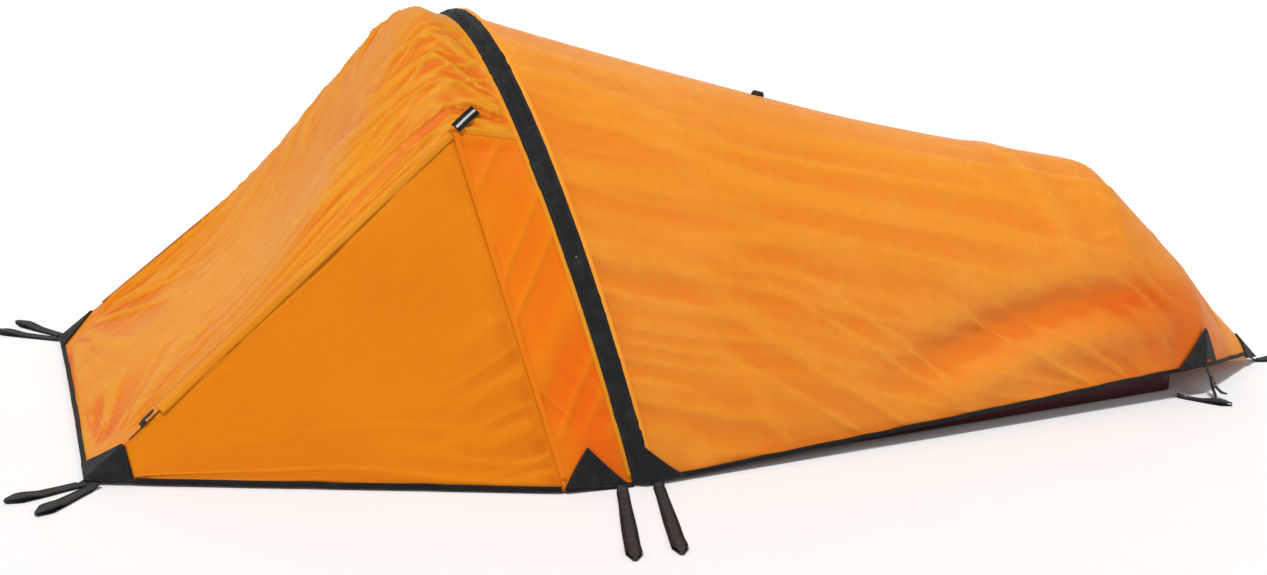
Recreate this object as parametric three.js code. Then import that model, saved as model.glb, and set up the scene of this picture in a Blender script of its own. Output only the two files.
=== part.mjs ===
// A one-person hooped bivy tent, pitched: fly over an inner tent, two pole hoops, webbing peg loops.
// Millimetres, +Z up, +X from the entrance towards the foot, entrance door on the -Y side.
import * as THREE from "three";

// Driving dimensions
const HOOP_WIDTH = 1224; // front hoop, foot to foot
const HOOP_HEIGHT = 860;
const HOOP_LEAN = 280; // the hoop's apex stands this far ahead of its feet
const HOOP_SIDE_POWER = 2.243; // superellipse powers of both hoops
const HOOP_TOP_POWER = 1.685;
const FRONT_REACH = 1078; // hoop feet to the front edge
const FRONT_EDGE_WIDTH = 902;
const REAR_HOOP_X = 1359;
const REAR_HOOP_HEIGHT = 553;
const REAR_CORNER_X = 1643;
const REAR_CORNER_WIDTH = 481;
const REAR_CORNER_Z = 79;
const TIP_X = 2016;
const TIP_Z = 8;
const BODY_SAG = 32; // the ridge's dip between the hoops
const HEM_Z = 6; // the fly's edge stands this high off the ground
const BROW = new THREE.Vector3(-381, 0, 866); // the ramp's crest, ahead of the hoop
const BROW_FOOT = new THREE.Vector3(-470, 0, 742);
const RAMP_MIDDLE = new THREE.Vector3(-705, 0, 345);
const SHOULDER = new THREE.Vector3(-372, 348, 670); // the ramp's upper corners
const RAMP_HOOP_SHARE = 0.4; // share of the hoop that the ramp's top edge takes
const STRIP_FOOT = new THREE.Vector3(-175, 630, HEM_Z); // foot of the fixed strip beside the hoop

const FLY_SKIN = 2.4;
const INNER_SKIN = 2;
const SEAM_TRIM = 5; // each panel stops this far short of the seam line
const INNER_INSET = 48; // the inner tent hangs this far inside the fly
const TUB_HEIGHT = 92;
const INNER_RIM = TUB_HEIGHT + 5; // the mesh inner starts just above the tub
const TUB_FLOOR = 4;
const TUB_INSET = 40;
const TUB_FRONT = 34;
const REAR_POLE_SINK = 18; // the rear pole hangs this far under the fly

const SLEEVE_WIDTH = 40;
const SLEEVE_DEPTH = 16;
const SLEEVE_WALL = 2;
const POLE_DIAMETER = 8.5;

const STRAP_WIDTH = 25;
const WEBBING = 2;
const LOOP_LENGTH = 70;
const LOOP_GAP = 5.4;
const BUCKLE_THICK = 4;

const FABRIC_ORANGE = 0xf08f2a;
const TRIM_BLACK = 0x26282a;
const FLOOR_MAROON = 0x3a1416;
const MESH_GREY = 0x34383c;
const POLE_GREY = 0x7c8288;
const TAB_WHITE = 0xd9dcdc;

const tent = new THREE.Group();
const fabric = (color, roughness) => new THREE.MeshStandardMaterial({ color, roughness, metalness: 0 });
const flyCloth = () => fabric(FABRIC_ORANGE, 0.55);
const trimCloth = () => fabric(TRIM_BLACK, 0.8);
const alloy = () => new THREE.MeshStandardMaterial({ color: POLE_GREY, roughness: 0.35, metalness: 0.9 });
const plastic = () => fabric(TRIM_BLACK, 0.4);

function addMesh(name, geometry, material) {
  const mesh = new THREE.Mesh(geometry, material);
  mesh.name = name;
  tent.add(mesh);
  return mesh;
}

// ---------- solids from grids and rings ----------

function geometryOf(points, faces) {
  const geometry = new THREE.BufferGeometry();
  geometry.setAttribute("position", new THREE.Float32BufferAttribute(points.flatMap((p) => p.toArray()), 3));
  geometry.setIndex(faces.flat());
  geometry.computeVertexNormals();
  return geometry;
}

// The outward normal of the surface at(u, v), whose u x v direction points out.
function surfaceNormal(at, u, v) {
  const step = 1e-3;
  const along = (du, dv) =>
    at(Math.min(u + du, 1), Math.min(v + dv, 1)).sub(at(Math.max(u - du, 0), Math.max(v - dv, 0)));
  return along(step, 0).cross(along(0, step)).normalize();
}

// A closed skin over the surface at(u, v), u and v from 0 to 1, from `low` to `high` off it.
function skin(at, columns, rows, low, high) {
  const points = [];
  for (const offset of [low, high])
    for (let j = 0; j <= rows; j++)
      for (let i = 0; i <= columns; i++) {
        const [u, v] = [i / columns, j / rows];
        points.push(at(u, v).addScaledVector(surfaceNormal(at, u, v), offset));
      }
  const layer = (columns + 1) * (rows + 1);
  const id = (i, j, top) => (top ? layer : 0) + j * (columns + 1) + i;
  const faces = [];
  const quad = (a, b, c, d) => faces.push([a, b, c], [a, c, d]);
  for (let j = 0; j < rows; j++)
    for (let i = 0; i < columns; i++) {
      quad(id(i, j, true), id(i + 1, j, true), id(i + 1, j + 1, true), id(i, j + 1, true));
      quad(id(i, j), id(i, j + 1), id(i + 1, j + 1), id(i + 1, j));
    }
  for (let i = 0; i < columns; i++) {
    quad(id(i, 0), id(i + 1, 0), id(i + 1, 0, true), id(i, 0, true));
    quad(id(i + 1, rows), id(i, rows), id(i, rows, true), id(i + 1, rows, true));
  }
  for (let j = 0; j < rows; j++) {
    quad(id(columns, j), id(columns, j + 1), id(columns, j + 1, true), id(columns, j, true));
    quad(id(0, j + 1), id(0, j), id(0, j, true), id(0, j + 1, true));
  }
  return geometryOf(points, faces);
}

// A solid swept through rings of equal length. With inner rings it is a tube, open at both ends.
function sweep(rings, innerRings) {
  const count = rings[0].length;
  const points = [...rings.flat(), ...(innerRings ? innerRings.flat() : [])];
  const id = (ring, k, inside) => (inside ? rings.length * count : 0) + ring * count + (k % count);
  const last = rings.length - 1;
  const faces = [];
  const quad = (a, b, c, d) => faces.push([a, b, c], [a, c, d]);
  for (let r = 0; r < last; r++)
    for (let k = 0; k < count; k++) {
      quad(id(r, k), id(r, k + 1), id(r + 1, k + 1), id(r + 1, k));
      if (innerRings) quad(id(r, k + 1, 1), id(r, k, 1), id(r + 1, k, 1), id(r + 1, k + 1, 1));
    }
  for (let k = 0; k < count; k++) {
    if (innerRings) {
      quad(id(0, k + 1), id(0, k), id(0, k, 1), id(0, k + 1, 1));
      quad(id(last, k), id(last, k + 1), id(last, k + 1, 1), id(last, k, 1));
    } else if (k > 0 && k < count - 1) {
      faces.push([id(0, 0), id(0, k + 1), id(0, k)], [id(last, 0), id(last, k), id(last, k + 1)]);
    }
  }
  return geometryOf(points, faces);
}

const mix = (a, b, t) => a.clone().lerp(b, t);
const onSide = (p, side) => new THREE.Vector3(p.x, p.y * side, p.z);
// Takes a surface given for the far side and turns it for one side, keeping its outward face.
const sided = (at, side) => (u, v) => onSide(side > 0 ? at(u, v) : at(1 - u, v), side);
const SIDES = [["near", -1], ["far", 1]];

// ---------- the tent's guiding curves ----------

// A point on a hoop: share -1 and 1 are its feet on the near and far side, 0 its apex.
function hoopPoint(share, { width, height, lean, x, base }) {
  const angle = (Math.PI / 2) * (1 - Math.min(Math.abs(share), 1));
  const rise = Math.sin(angle) ** (2 / HOOP_TOP_POWER);
  const spread = Math.max(Math.cos(angle), 0) ** (2 / HOOP_SIDE_POWER);
  const z = base + (height - base) * rise;
  return new THREE.Vector3(x - (lean * z) / height, (Math.sign(share) * width * spread) / 2, z);
}

const FRONT_HOOP = { width: HOOP_WIDTH, height: HOOP_HEIGHT, lean: HOOP_LEAN, x: 0, base: HEM_Z };
const hemShare = REAR_HOOP_X / REAR_CORNER_X; // of the side hem's length, the part ahead of the rear hoop
const REAR_HOOP = {
  width: HOOP_WIDTH + (REAR_CORNER_WIDTH - HOOP_WIDTH) * hemShare,
  height: REAR_HOOP_HEIGHT,
  lean: 0,
  x: REAR_HOOP_X,
  base: REAR_CORNER_Z * hemShare,
};
const REAR_CORNER = new THREE.Vector3(REAR_CORNER_X, REAR_CORNER_WIDTH / 2, REAR_CORNER_Z);
const TIP = new THREE.Vector3(TIP_X, 0, TIP_Z);
const FRONT_CORNER = new THREE.Vector3(-FRONT_REACH, FRONT_EDGE_WIDTH / 2, HEM_Z);
const HOOP_APEX = hoopPoint(0, FRONT_HOOP);
const hoopSlope = new THREE.Vector3(-HOOP_LEAN, 0, HOOP_HEIGHT).normalize();
const hoopAcross = new THREE.Vector3(hoopSlope.z, 0, -hoopSlope.x); // square to the hoop's plane, rearwards
const SLEEVE_CLEAR = SLEEVE_WIDTH / 2 + 2;

// The body between the hoops. side share from -1 to 1, along from 0 at the front hoop to 1 at the rear one.
function bodyPoint(share, along, inset = 0) {
  const inner = inset > 0;
  const shrink = (hoop) => ({
    ...hoop,
    width: hoop.width - 2 * inset,
    height: hoop.height - inset,
    base: inner ? INNER_RIM : hoop.base,
  });
  const a = hoopPoint(share, shrink(FRONT_HOOP));
  const b = hoopPoint(share, shrink(REAR_HOOP));
  const start = a.x + SLEEVE_CLEAR * hoopAcross.x + (inner ? INNER_INSET / 2 : 0);
  const p = mix(new THREE.Vector3(start, a.y, a.z), b, along);
  const height = (p.z - HEM_Z) / HOOP_HEIGHT;
  p.z -= BODY_SAG * Math.sin(Math.PI * along) * Math.min(height * 1.4, 1);
  return p;
}

// The foot end, along from 0 at the rear hoop, through 0.5 at the rear corners, to 1 at the edge that runs
// corner, tip, corner.
const ridgeFall = (REAR_HOOP_HEIGHT - TIP_Z) / (TIP_X - REAR_HOOP_X);
const CORNER_HOOP = {
  width: REAR_CORNER_WIDTH,
  height: REAR_HOOP_HEIGHT - ridgeFall * (REAR_CORNER_X - REAR_HOOP_X),
  lean: 0,
  x: REAR_CORNER_X,
  base: REAR_CORNER_Z,
};
function footPoint(share, along) {
  const section = hoopPoint(share, CORNER_HOOP);
  if (along <= 0.5) return mix(hoopPoint(share, REAR_HOOP), section, along * 2);
  const edge = mix(TIP, onSide(REAR_CORNER, Math.sign(share)), Math.abs(share));
  return mix(section, edge, along * 2 - 1);
}

// The inner tent's foot end, which falls straight to the tub's rim.
function innerFootPoint(share, along) {
  const back = REAR_CORNER_X - 1.8 * INNER_INSET;
  const corner = new THREE.Vector3(back, REAR_CORNER.y - INNER_INSET, INNER_RIM);
  const middle = new THREE.Vector3(back + 20, 0, INNER_RIM);
  const end = mix(middle, corner, Math.abs(share));
  return mix(bodyPoint(share, 1, INNER_INSET), onSide(end, Math.sign(share) || 1), along);
}

// The ramp in front of the hoop. share from -1 to 1 across, along from 0 at the hoop to 1 at the front edge.
const SHOULDER_ALONG = 0.25;
const crest = new THREE.CatmullRomCurve3([
  HOOP_APEX.clone().addScaledVector(hoopAcross, -SLEEVE_CLEAR),
  BROW,
  BROW_FOOT,
  RAMP_MIDDLE,
  new THREE.Vector3(-FRONT_REACH, 0, HEM_Z),
]);
function rampEdge(along) {
  const start = hoopPoint(RAMP_HOOP_SHARE, FRONT_HOOP).addScaledVector(hoopAcross, -SLEEVE_CLEAR);
  if (along < SHOULDER_ALONG) return mix(start, SHOULDER, along / SHOULDER_ALONG);
  return mix(SHOULDER, FRONT_CORNER, (along - SHOULDER_ALONG) / (1 - SHOULDER_ALONG));
}
function rampPoint(share, along) {
  const edge = rampEdge(along);
  const top = crest.getPoint(along);
  const side = hoopPoint(share * RAMP_HOOP_SHARE, FRONT_HOOP);
  const corner = hoopPoint(RAMP_HOOP_SHARE, FRONT_HOOP);
  const lift = (side.z - corner.z) / (HOOP_HEIGHT - corner.z);
  return new THREE.Vector3(
    edge.x + (top.x - edge.x) * lift,
    (edge.y * side.y) / corner.y,
    edge.z + (top.z - edge.z) * lift,
  );
}

// The ramp as a surface whose u x v direction points out.
const ramp = (u, v) => rampPoint(1 - 2 * u, 1 - v);

// The fixed strip beside the hoop: along its length 0 is the ground, across 0 is the sleeve.
const shoulderLine = (t) => mix(STRIP_FOOT, SHOULDER, t);
function stripPoint(across, along) {
  const share = 1 - along * (1 - RAMP_HOOP_SHARE);
  const beside = hoopPoint(share, FRONT_HOOP).addScaledVector(hoopAcross, -SLEEVE_CLEAR);
  return mix(beside, shoulderLine(along), across);
}

// ---------- fly panels ----------

const rescale = (at, u0, u1, v0, v1) => (u, v) => at(u0 + (u1 - u0) * u, v0 + (v1 - v0) * v);

// The door and its twin wall: a flat panel in the plane of the front corner,
// the strip's foot and the shoulder.
const PATCH_ALONG_ZIP = 100;
const PATCH_ALONG_HEM = 92;
const PATCH_ALONG_FRONT = 90;
const toward = (from, to, distance) => mix(from, to, distance / from.distanceTo(to));
const PATCH_TOP = toward(FRONT_CORNER, SHOULDER, PATCH_ALONG_ZIP);
const PATCH_END = toward(FRONT_CORNER, STRIP_FOOT, PATCH_ALONG_HEM);

function doorFrame(side) {
  const [foot, shoulder, corner] = [STRIP_FOOT, SHOULDER, FRONT_CORNER].map((p) => onSide(p, side));
  const along = foot.clone().sub(corner).normalize();
  const out = along.clone().cross(shoulder.clone().sub(corner)).normalize().multiplyScalar(-side);
  return { origin: corner, along, up: out.clone().cross(along).multiplyScalar(-side), out };
}

// Moves each side of a convex outline inwards.
function insetOutline(corners, distance) {
  const turn = Math.sign(THREE.ShapeUtils.area(corners));
  const edges = corners.map((p, i) => {
    const direction = corners[(i + 1) % corners.length].clone().sub(p).normalize();
    const inward = new THREE.Vector2(-direction.y, direction.x).multiplyScalar(turn);
    return { point: p.clone().addScaledVector(inward, distance), direction };
  });
  return edges.map((edge, i) => {
    const before = edges[(i + edges.length - 1) % edges.length];
    const gap = edge.point.clone().sub(before.point);
    const travel = gap.cross(edge.direction) / before.direction.cross(edge.direction);
    return before.point.clone().addScaledVector(before.direction, travel);
  });
}

// A plate in the door's plane from an outline of points given in space.
function doorPlate(side, corners, inset, low, thickness) {
  const { origin, along, up, out } = doorFrame(side);
  const flat = corners.map((p) => {
    const offset = onSide(p, side).sub(origin);
    return new THREE.Vector2(offset.dot(along), offset.dot(up));
  });
  const shape = new THREE.Shape(insetOutline(flat, inset));
  const plate = new THREE.ExtrudeGeometry(shape, { depth: thickness, bevelEnabled: false });
  plate.translate(0, 0, low);
  const basis = new THREE.Matrix4().makeBasis(along, up, out);
  basis.setPosition(origin);
  plate.applyMatrix4(basis);
  return basis.determinant() < 0 ? turnedOut(plate) : plate;
}

// Turns every face of a geometry over, after a mirroring placement.
function turnedOut(geometry) {
  const flat = geometry.index ? geometry.toNonIndexed() : geometry;
  const position = flat.getAttribute("position");
  const [a, b] = [new THREE.Vector3(), new THREE.Vector3()];
  for (let i = 0; i < position.count; i += 3) {
    a.fromBufferAttribute(position, i + 1);
    b.fromBufferAttribute(position, i + 2);
    position.setXYZ(i + 1, b.x, b.y, b.z);
    position.setXYZ(i + 2, a.x, a.y, a.z);
  }
  return flat;
}

const DOOR_OUTLINE = [PATCH_END, STRIP_FOOT, SHOULDER, PATCH_TOP];

function addFlyPanels() {
  const across = SEAM_TRIM / 900;
  const trimmedRamp = rescale(ramp, across * 2, 1 - across * 2, 0.008, 1);
  addMesh("fly_ramp_panel", skin(trimmedRamp, 12, 14, 0, FLY_SKIN), flyCloth());
  const body = (u, v) => bodyPoint(1 - 2 * u, v);
  const trimmedBody = rescale(body, 0.008, 0.992, 0, 0.996);
  addMesh("fly_body_panel", skin(trimmedBody, 18, 8, 0, FLY_SKIN), flyCloth());
  for (const [label, side] of SIDES) {
    const name = side < 0 ? "fly_door_panel" : "fly_far_wall_panel";
    addMesh(name, doorPlate(side, DOOR_OUTLINE, SEAM_TRIM, 0, FLY_SKIN), flyCloth());
    const strip = rescale(sided(stripPoint, side), 0.012, 0.988, 0.01, 0.985);
    addMesh(`fly_hoop_strip_${label}`, skin(strip, 2, 12, 0, FLY_SKIN), flyCloth());
    const foot = sided((u, v) => footPoint(1 - u, v), side);
    const trimmedFoot = rescale(foot, 0.012, 0.985, 0.006, 0.994);
    addMesh(`fly_foot_panel_${label}`, skin(trimmedFoot, 8, 8, 0, FLY_SKIN), flyCloth());
  }
}

// ---------- inner tent ----------

function tubOutline(inset, z) {
  const wide = HOOP_WIDTH / 2 - TUB_INSET - inset;
  const narrow = REAR_CORNER_WIDTH / 2 - TUB_INSET - inset;
  const front = TUB_FRONT + inset;
  const back = REAR_CORNER_X - TUB_INSET - inset;
  return [
    new THREE.Vector3(front, -wide, z),
    new THREE.Vector3(back - 20, -narrow, z),
    new THREE.Vector3(back, 0, z),
    new THREE.Vector3(back - 20, narrow, z),
    new THREE.Vector3(front, wide, z),
  ];
}

// A tub: outer wall, rim, inner wall and a closed floor.
function tubGeometry() {
  const rings = [tubOutline(0, 0), tubOutline(0, TUB_HEIGHT), tubOutline(INNER_SKIN, TUB_HEIGHT),
    tubOutline(INNER_SKIN, TUB_FLOOR)];
  return sweep(rings);
}

// The mesh front wall leans with the hoop, around a doorway that the inner door fills.
const DOORWAY = { half: 330, low: 150, high: 600 };
const wallX = (z) => 52 - (HOOP_LEAN * z) / HOOP_HEIGHT;
function wallShape() {
  const outline = [];
  const inset = INNER_INSET + 14;
  const hoop = {
    ...FRONT_HOOP,
    width: HOOP_WIDTH - 2 * inset,
    height: HOOP_HEIGHT - inset,
    base: INNER_RIM + 1,
  };
  const slope = Math.hypot(HOOP_HEIGHT, HOOP_LEAN) / HOOP_HEIGHT;
  for (let i = 0; i <= 16; i++) {
    const p = hoopPoint(i / 8 - 1, hoop);
    outline.push(new THREE.Vector2(p.y, p.z * slope));
  }
  return { shape: new THREE.Shape(outline), slope };
}
function doorwayPath(trim, slope) {
  const { half, low, high } = DOORWAY;
  const [w, bottom, top] = [half - trim, (low + trim) * slope, (high - trim) * slope];
  const shoulder = 150;
  const path = new THREE.Shape();
  path.moveTo(-w, bottom);
  path.lineTo(w, bottom);
  path.lineTo(w, top - shoulder);
  path.quadraticCurveTo(w, top, w - shoulder, top);
  path.lineTo(-w + shoulder, top);
  path.quadraticCurveTo(-w, top, -w, top - shoulder);
  path.closePath();
  return path;
}
// Stands a plate drawn in the wall's own plane (across, up the slope) into its leaning place.
function leanPlate(shape, thickness) {
  const plate = new THREE.ExtrudeGeometry(shape, { depth: thickness, bevelEnabled: false, curveSegments: 5 });
  const basis = new THREE.Matrix4().makeBasis(new THREE.Vector3(0, 1, 0), hoopSlope, hoopAcross);
  basis.setPosition(wallX(0), 0, 0);
  plate.applyMatrix4(basis);
  return plate;
}

function addInnerTent() {
  addMesh("inner_floor_tub", tubGeometry(), fabric(FLOOR_MAROON, 0.6));
  const canopy = (u, v) => bodyPoint(1 - 2 * u, 0.055 + 0.935 * v, INNER_INSET);
  addMesh("inner_canopy", skin(canopy, 14, 5, -INNER_SKIN, 0), fabric(MESH_GREY, 0.9));
  for (const [label, side] of SIDES) {
    const foot = sided((u, v) => innerFootPoint(0.985 - 0.97 * u, 0.02 + 0.97 * v), side);
    addMesh(`inner_foot_${label}`, skin(foot, 6, 4, -INNER_SKIN, 0), fabric(MESH_GREY, 0.9));
  }
  const { shape, slope } = wallShape();
  shape.holes.push(doorwayPath(0, slope));
  addMesh("inner_front_wall", leanPlate(shape, INNER_SKIN), fabric(MESH_GREY, 0.9));
  addMesh("inner_door", leanPlate(doorwayPath(4, slope), INNER_SKIN), fabric(MESH_GREY, 0.9));
}

// ---------- pole sleeves and poles ----------

// Rings of an oval section along a hoop, from one share to another.
function hoopRings(hoop, from, to, steps, halfAcross, halfDeep, sides, sink = 0) {
  const across = hoop.lean ? hoopAcross : new THREE.Vector3(1, 0, 0);
  const rings = [];
  for (let i = 0; i <= steps; i++) {
    const share = from + ((to - from) * i) / steps;
    const here = hoopPoint(share, hoop);
    const ahead = hoopPoint(Math.min(share + 0.004, 1), hoop);
    const behind = hoopPoint(Math.max(share - 0.004, -1), hoop);
    const outward = ahead.sub(behind).cross(across).normalize().negate();
    const ring = [];
    for (let k = 0; k < sides; k++) {
      const angle = (2 * Math.PI * k) / sides;
      ring.push(here.clone().addScaledVector(outward, -sink + halfDeep * Math.sin(angle))
        .addScaledVector(across, halfAcross * Math.cos(angle)));
    }
    rings.push(ring);
  }
  return rings;
}

const REAR_POLE_LINE = { ...REAR_HOOP, x: REAR_HOOP_X - 10 };

function addSleeves() {
  const half = SLEEVE_WIDTH / 2;
  const deep = SLEEVE_DEPTH / 2;
  const outer = hoopRings(FRONT_HOOP, 0.985, -0.985, 36, half, deep, 10);
  const bore = hoopRings(FRONT_HOOP, 0.985, -0.985, 36, half - SLEEVE_WALL, deep - SLEEVE_WALL, 10);
  addMesh("front_pole_sleeve", sweep(outer, bore), trimCloth());
  const rearOuter = hoopRings(REAR_POLE_LINE, 0.95, -0.95, 24, 14, 8, 8, REAR_POLE_SINK);
  const rearBore = hoopRings(REAR_POLE_LINE, 0.95, -0.95, 24, 12, 6.4, 8, REAR_POLE_SINK);
  addMesh("rear_pole_sleeve", sweep(rearOuter, rearBore), flyCloth());
}

// One section of a shock-corded pole.
function poleSection(hoop, from, to, sink) {
  const radius = POLE_DIAMETER / 2;
  const rings = hoopRings(hoop, from, to, 9, radius, radius, 8, sink);
  return sweep(from > to ? rings : rings.reverse());
}

function addPoles() {
  const names = ["near_lower", "near_upper", "far_upper", "far_lower"];
  names.forEach((name, i) => {
    const [from, to] = [-0.975 + i * 0.4875, -0.975 + (i + 1) * 0.4875 - 0.002];
    addMesh(`front_pole_${name}`, poleSection(FRONT_HOOP, from, to, 0), alloy());
  });
  ["near", "middle", "far"].forEach((name, i) => {
    const [from, to] = [-0.97 + i * 0.64666, -0.97 + (i + 1) * 0.64666 - 0.002];
    addMesh(`rear_pole_${name}`, poleSection(REAR_POLE_LINE, from, to, REAR_POLE_SINK), alloy());
  });
}

// ---------- hem bindings, patches and tabs ----------

const TAPE_LOW = FLY_SKIN + 0.5; // bindings lie over the fly, patches over the bindings
const TAPE_HIGH = TAPE_LOW + 1.6;
const PATCH_LOW = TAPE_HIGH + 0.6;
const PATCH_HIGH = PATCH_LOW + 1.6;
const HEM_HEIGHT = 16;
const HINGE_CLEAR = 16; // the door's hem ends this far short of its hinge line, so that it clears the strip

function addHems() {
  const front = rescale(ramp, 0.005, 0.995, 0, 0.022);
  addMesh("front_edge_hem", skin(front, 12, 1, TAPE_LOW, TAPE_HIGH), trimCloth());
  const sideHem = (share, along) =>
    along < hemShare
      ? bodyPoint(share, along / hemShare)
      : footPoint(share, (0.5 * (along - hemShare)) / (1 - hemShare));
  for (const [label, side] of SIDES) {
    const lift = new THREE.Vector3(0, 0, HEM_HEIGHT);
    const end = toward(STRIP_FOOT, PATCH_END, HINGE_CLEAR);
    const band = [PATCH_END, end, end.clone().add(lift), PATCH_END.clone().add(lift)];
    const name = side < 0 ? "door_hem" : "far_wall_hem";
    addMesh(name, doorPlate(side, band, 2, TAPE_LOW, TAPE_HIGH - TAPE_LOW), trimCloth());
    const body = sided((u, v) => sideHem(1 - 0.026 * u, 0.002 + 0.99 * v), side);
    addMesh(`body_hem_${label}`, skin(body, 1, 12, TAPE_LOW, TAPE_HIGH), trimCloth());
    const rear = sided((u, v) => footPoint(0.96 - 0.94 * u, 0.95 + 0.05 * v), side);
    addMesh(`end_hem_${label}`, skin(rear, 8, 1, TAPE_LOW + 3, TAPE_HIGH + 3), trimCloth());
  }
}

// Patches are triangles with a blunt tip: v runs from the hem to the tip.
const BLUNT = 0.94;
function addPatches() {
  const frontInner = FRONT_CORNER.clone().setY(FRONT_CORNER.y - PATCH_ALONG_FRONT);
  const cornerBase = (u) =>
    u < 0.5 ? mix(PATCH_END, FRONT_CORNER, 2 * u) : mix(FRONT_CORNER, frontInner, 2 * u - 1);
  for (const [label, side] of SIDES) {
    const corner = (u, v) => mix(cornerBase(u), PATCH_TOP, v * BLUNT);
    addMesh(`corner_patch_front_${label}`,
      skin(sided(corner, side), 2, 3, PATCH_LOW, PATCH_HIGH + 0.6), trimCloth());
    const strip = (u, v) => stripPoint(0.47 + (0.82 * u - 0.41) * (1 - v * BLUNT), 0.02 + 0.115 * v);
    addMesh(`hoop_patch_front_${label}`, skin(sided(strip, side), 2, 4, PATCH_LOW, PATCH_HIGH), trimCloth());
    const hoopRear = (u, v) => bodyPoint(1 - 0.095 * v, 0.003 + 0.055 * (1 - u) * (1 - v * BLUNT));
    addMesh(`hoop_patch_rear_${label}`,
      skin(sided(hoopRear, side), 2, 3, PATCH_LOW, PATCH_HIGH), trimCloth());
    const rear = (u, v) => footPoint(0.98 - 0.2 * v, 0.5 - 0.19 * (1 - v * BLUNT) * u);
    addMesh(`corner_patch_rear_${label}`,
      skin(sided(rear, side), 2, 3, PATCH_LOW, PATCH_HIGH), trimCloth());
  }
}

// Sewn guy-out tabs: a folded strip on each shoulder of the ramp and one on the ridge.
const TAB_LENGTH = 58;
const TAB_WIDTH = 20;
const TAB_THICK = 2.4;
const TAB_RISE = 5;
const RIDGE_TAB_ALONG = 0.435;
const RIDGE_TAB_LENGTH = 34;
function addTabs() {
  for (const [label, side] of SIDES) {
    const tab = new THREE.BoxGeometry(TAB_LENGTH, TAB_WIDTH, TAB_THICK);
    const centre = onSide(rampPoint(0.93, 0.19), side);
    const next = onSide(rampPoint(0.93, 0.12), side);
    const along = next.sub(centre).normalize();
    const out = onSide(surfaceNormal(ramp, 0.035, 0.81), side);
    const across = out.clone().cross(along).normalize();
    const basis = new THREE.Matrix4().makeBasis(along, across, along.clone().cross(across));
    basis.setPosition(centre.addScaledVector(out, TAB_RISE));
    addMesh(`guy_tab_${label}`, tab.applyMatrix4(basis), fabric(TAB_WHITE, 0.6));
  }
  const ridge = bodyPoint(0, RIDGE_TAB_ALONG);
  const loop = new THREE.BoxGeometry(RIDGE_TAB_LENGTH, TAB_THICK, TAB_WIDTH * 0.6);
  loop.translate(ridge.x, 0, ridge.z + FLY_SKIN + TAB_WIDTH * 0.3 + 4);
  addMesh("guy_tab_ridge", loop, trimCloth());
}

// ---------- door zip ----------

const ZIP_COIL = 2.2;
const SLIDER = { length: 15, width: 9, height: 5 };
const PULL = { length: 34, width: 7, thick: 2 };
const SLIDER_SHIFT = 4; // the slider sits on the ramp side of the coil, out of the door's way
const ZIP_START = 0.06; // the closed slider's place, from 0 at the corner patch to 1 at the shoulder
const zipPoint = (t) => onSide(mix(PATCH_TOP, SHOULDER, t), -1);
const zipAlong = zipPoint(1).sub(zipPoint(0)).normalize();
const rampOut = onSide(surfaceNormal(ramp, 0.005, 0.3), -1);
const zipOut = doorFrame(-1).out.clone().add(rampOut).normalize();

function besideZip(geometry, t, height, shift) {
  const across = zipOut.clone().cross(zipAlong).normalize();
  const out = zipAlong.clone().cross(across);
  const basis = new THREE.Matrix4().makeBasis(zipAlong, across, out);
  basis.setPosition(zipPoint(t).addScaledVector(out, height).addScaledVector(across, shift));
  return geometry.applyMatrix4(basis);
}

function addZip() {
  const reach = zipPoint(0).distanceTo(zipPoint(1)) * 0.97;
  const coil = new THREE.CylinderGeometry(ZIP_COIL / 2, ZIP_COIL / 2, reach, 6).rotateZ(Math.PI / 2);
  addMesh("door_zip_coil", besideZip(coil, 0.5, 0.4, 0), plastic());
  const slider = new THREE.BoxGeometry(SLIDER.length, SLIDER.width, SLIDER.height);
  const sliderHeight = ZIP_COIL + SLIDER.height / 2;
  addMesh("zip_slider", besideZip(slider, ZIP_START, sliderHeight, SLIDER_SHIFT), alloy());
  const pull = new THREE.BoxGeometry(PULL.length, PULL.width, PULL.thick);
  const pullHeight = sliderHeight + (SLIDER.height + PULL.thick) / 2 + 0.4;
  addMesh("zip_pull", besideZip(pull, ZIP_START + 0.012, pullHeight, SLIDER_SHIFT), trimCloth());
}

// ---------- peg loops ----------

// The side view of a doubled webbing strap whose end stands open as a loop: x along it, y up.
function strapProfile(length) {
  const sewn = 2 * WEBBING;
  const open = sewn + LOOP_GAP;
  const start = length - LOOP_LENGTH;
  const profile = new THREE.Shape();
  profile.moveTo(0, 0);
  profile.lineTo(length - 5, 0);
  profile.quadraticCurveTo(length, 0, length, open / 2);
  profile.quadraticCurveTo(length, open, length - 5, open);
  profile.lineTo(start + 12, open);
  profile.lineTo(start - 10, sewn);
  profile.lineTo(0, sewn);
  profile.closePath();
  const loop = new THREE.Path();
  loop.moveTo(start + 2, WEBBING);
  loop.lineTo(start + 13, WEBBING + LOOP_GAP);
  loop.lineTo(length - 5.5, WEBBING + LOOP_GAP);
  loop.lineTo(length - WEBBING, open / 2);
  loop.lineTo(length - 5.5, WEBBING);
  loop.closePath();
  profile.holes.push(loop);
  return profile;
}

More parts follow.
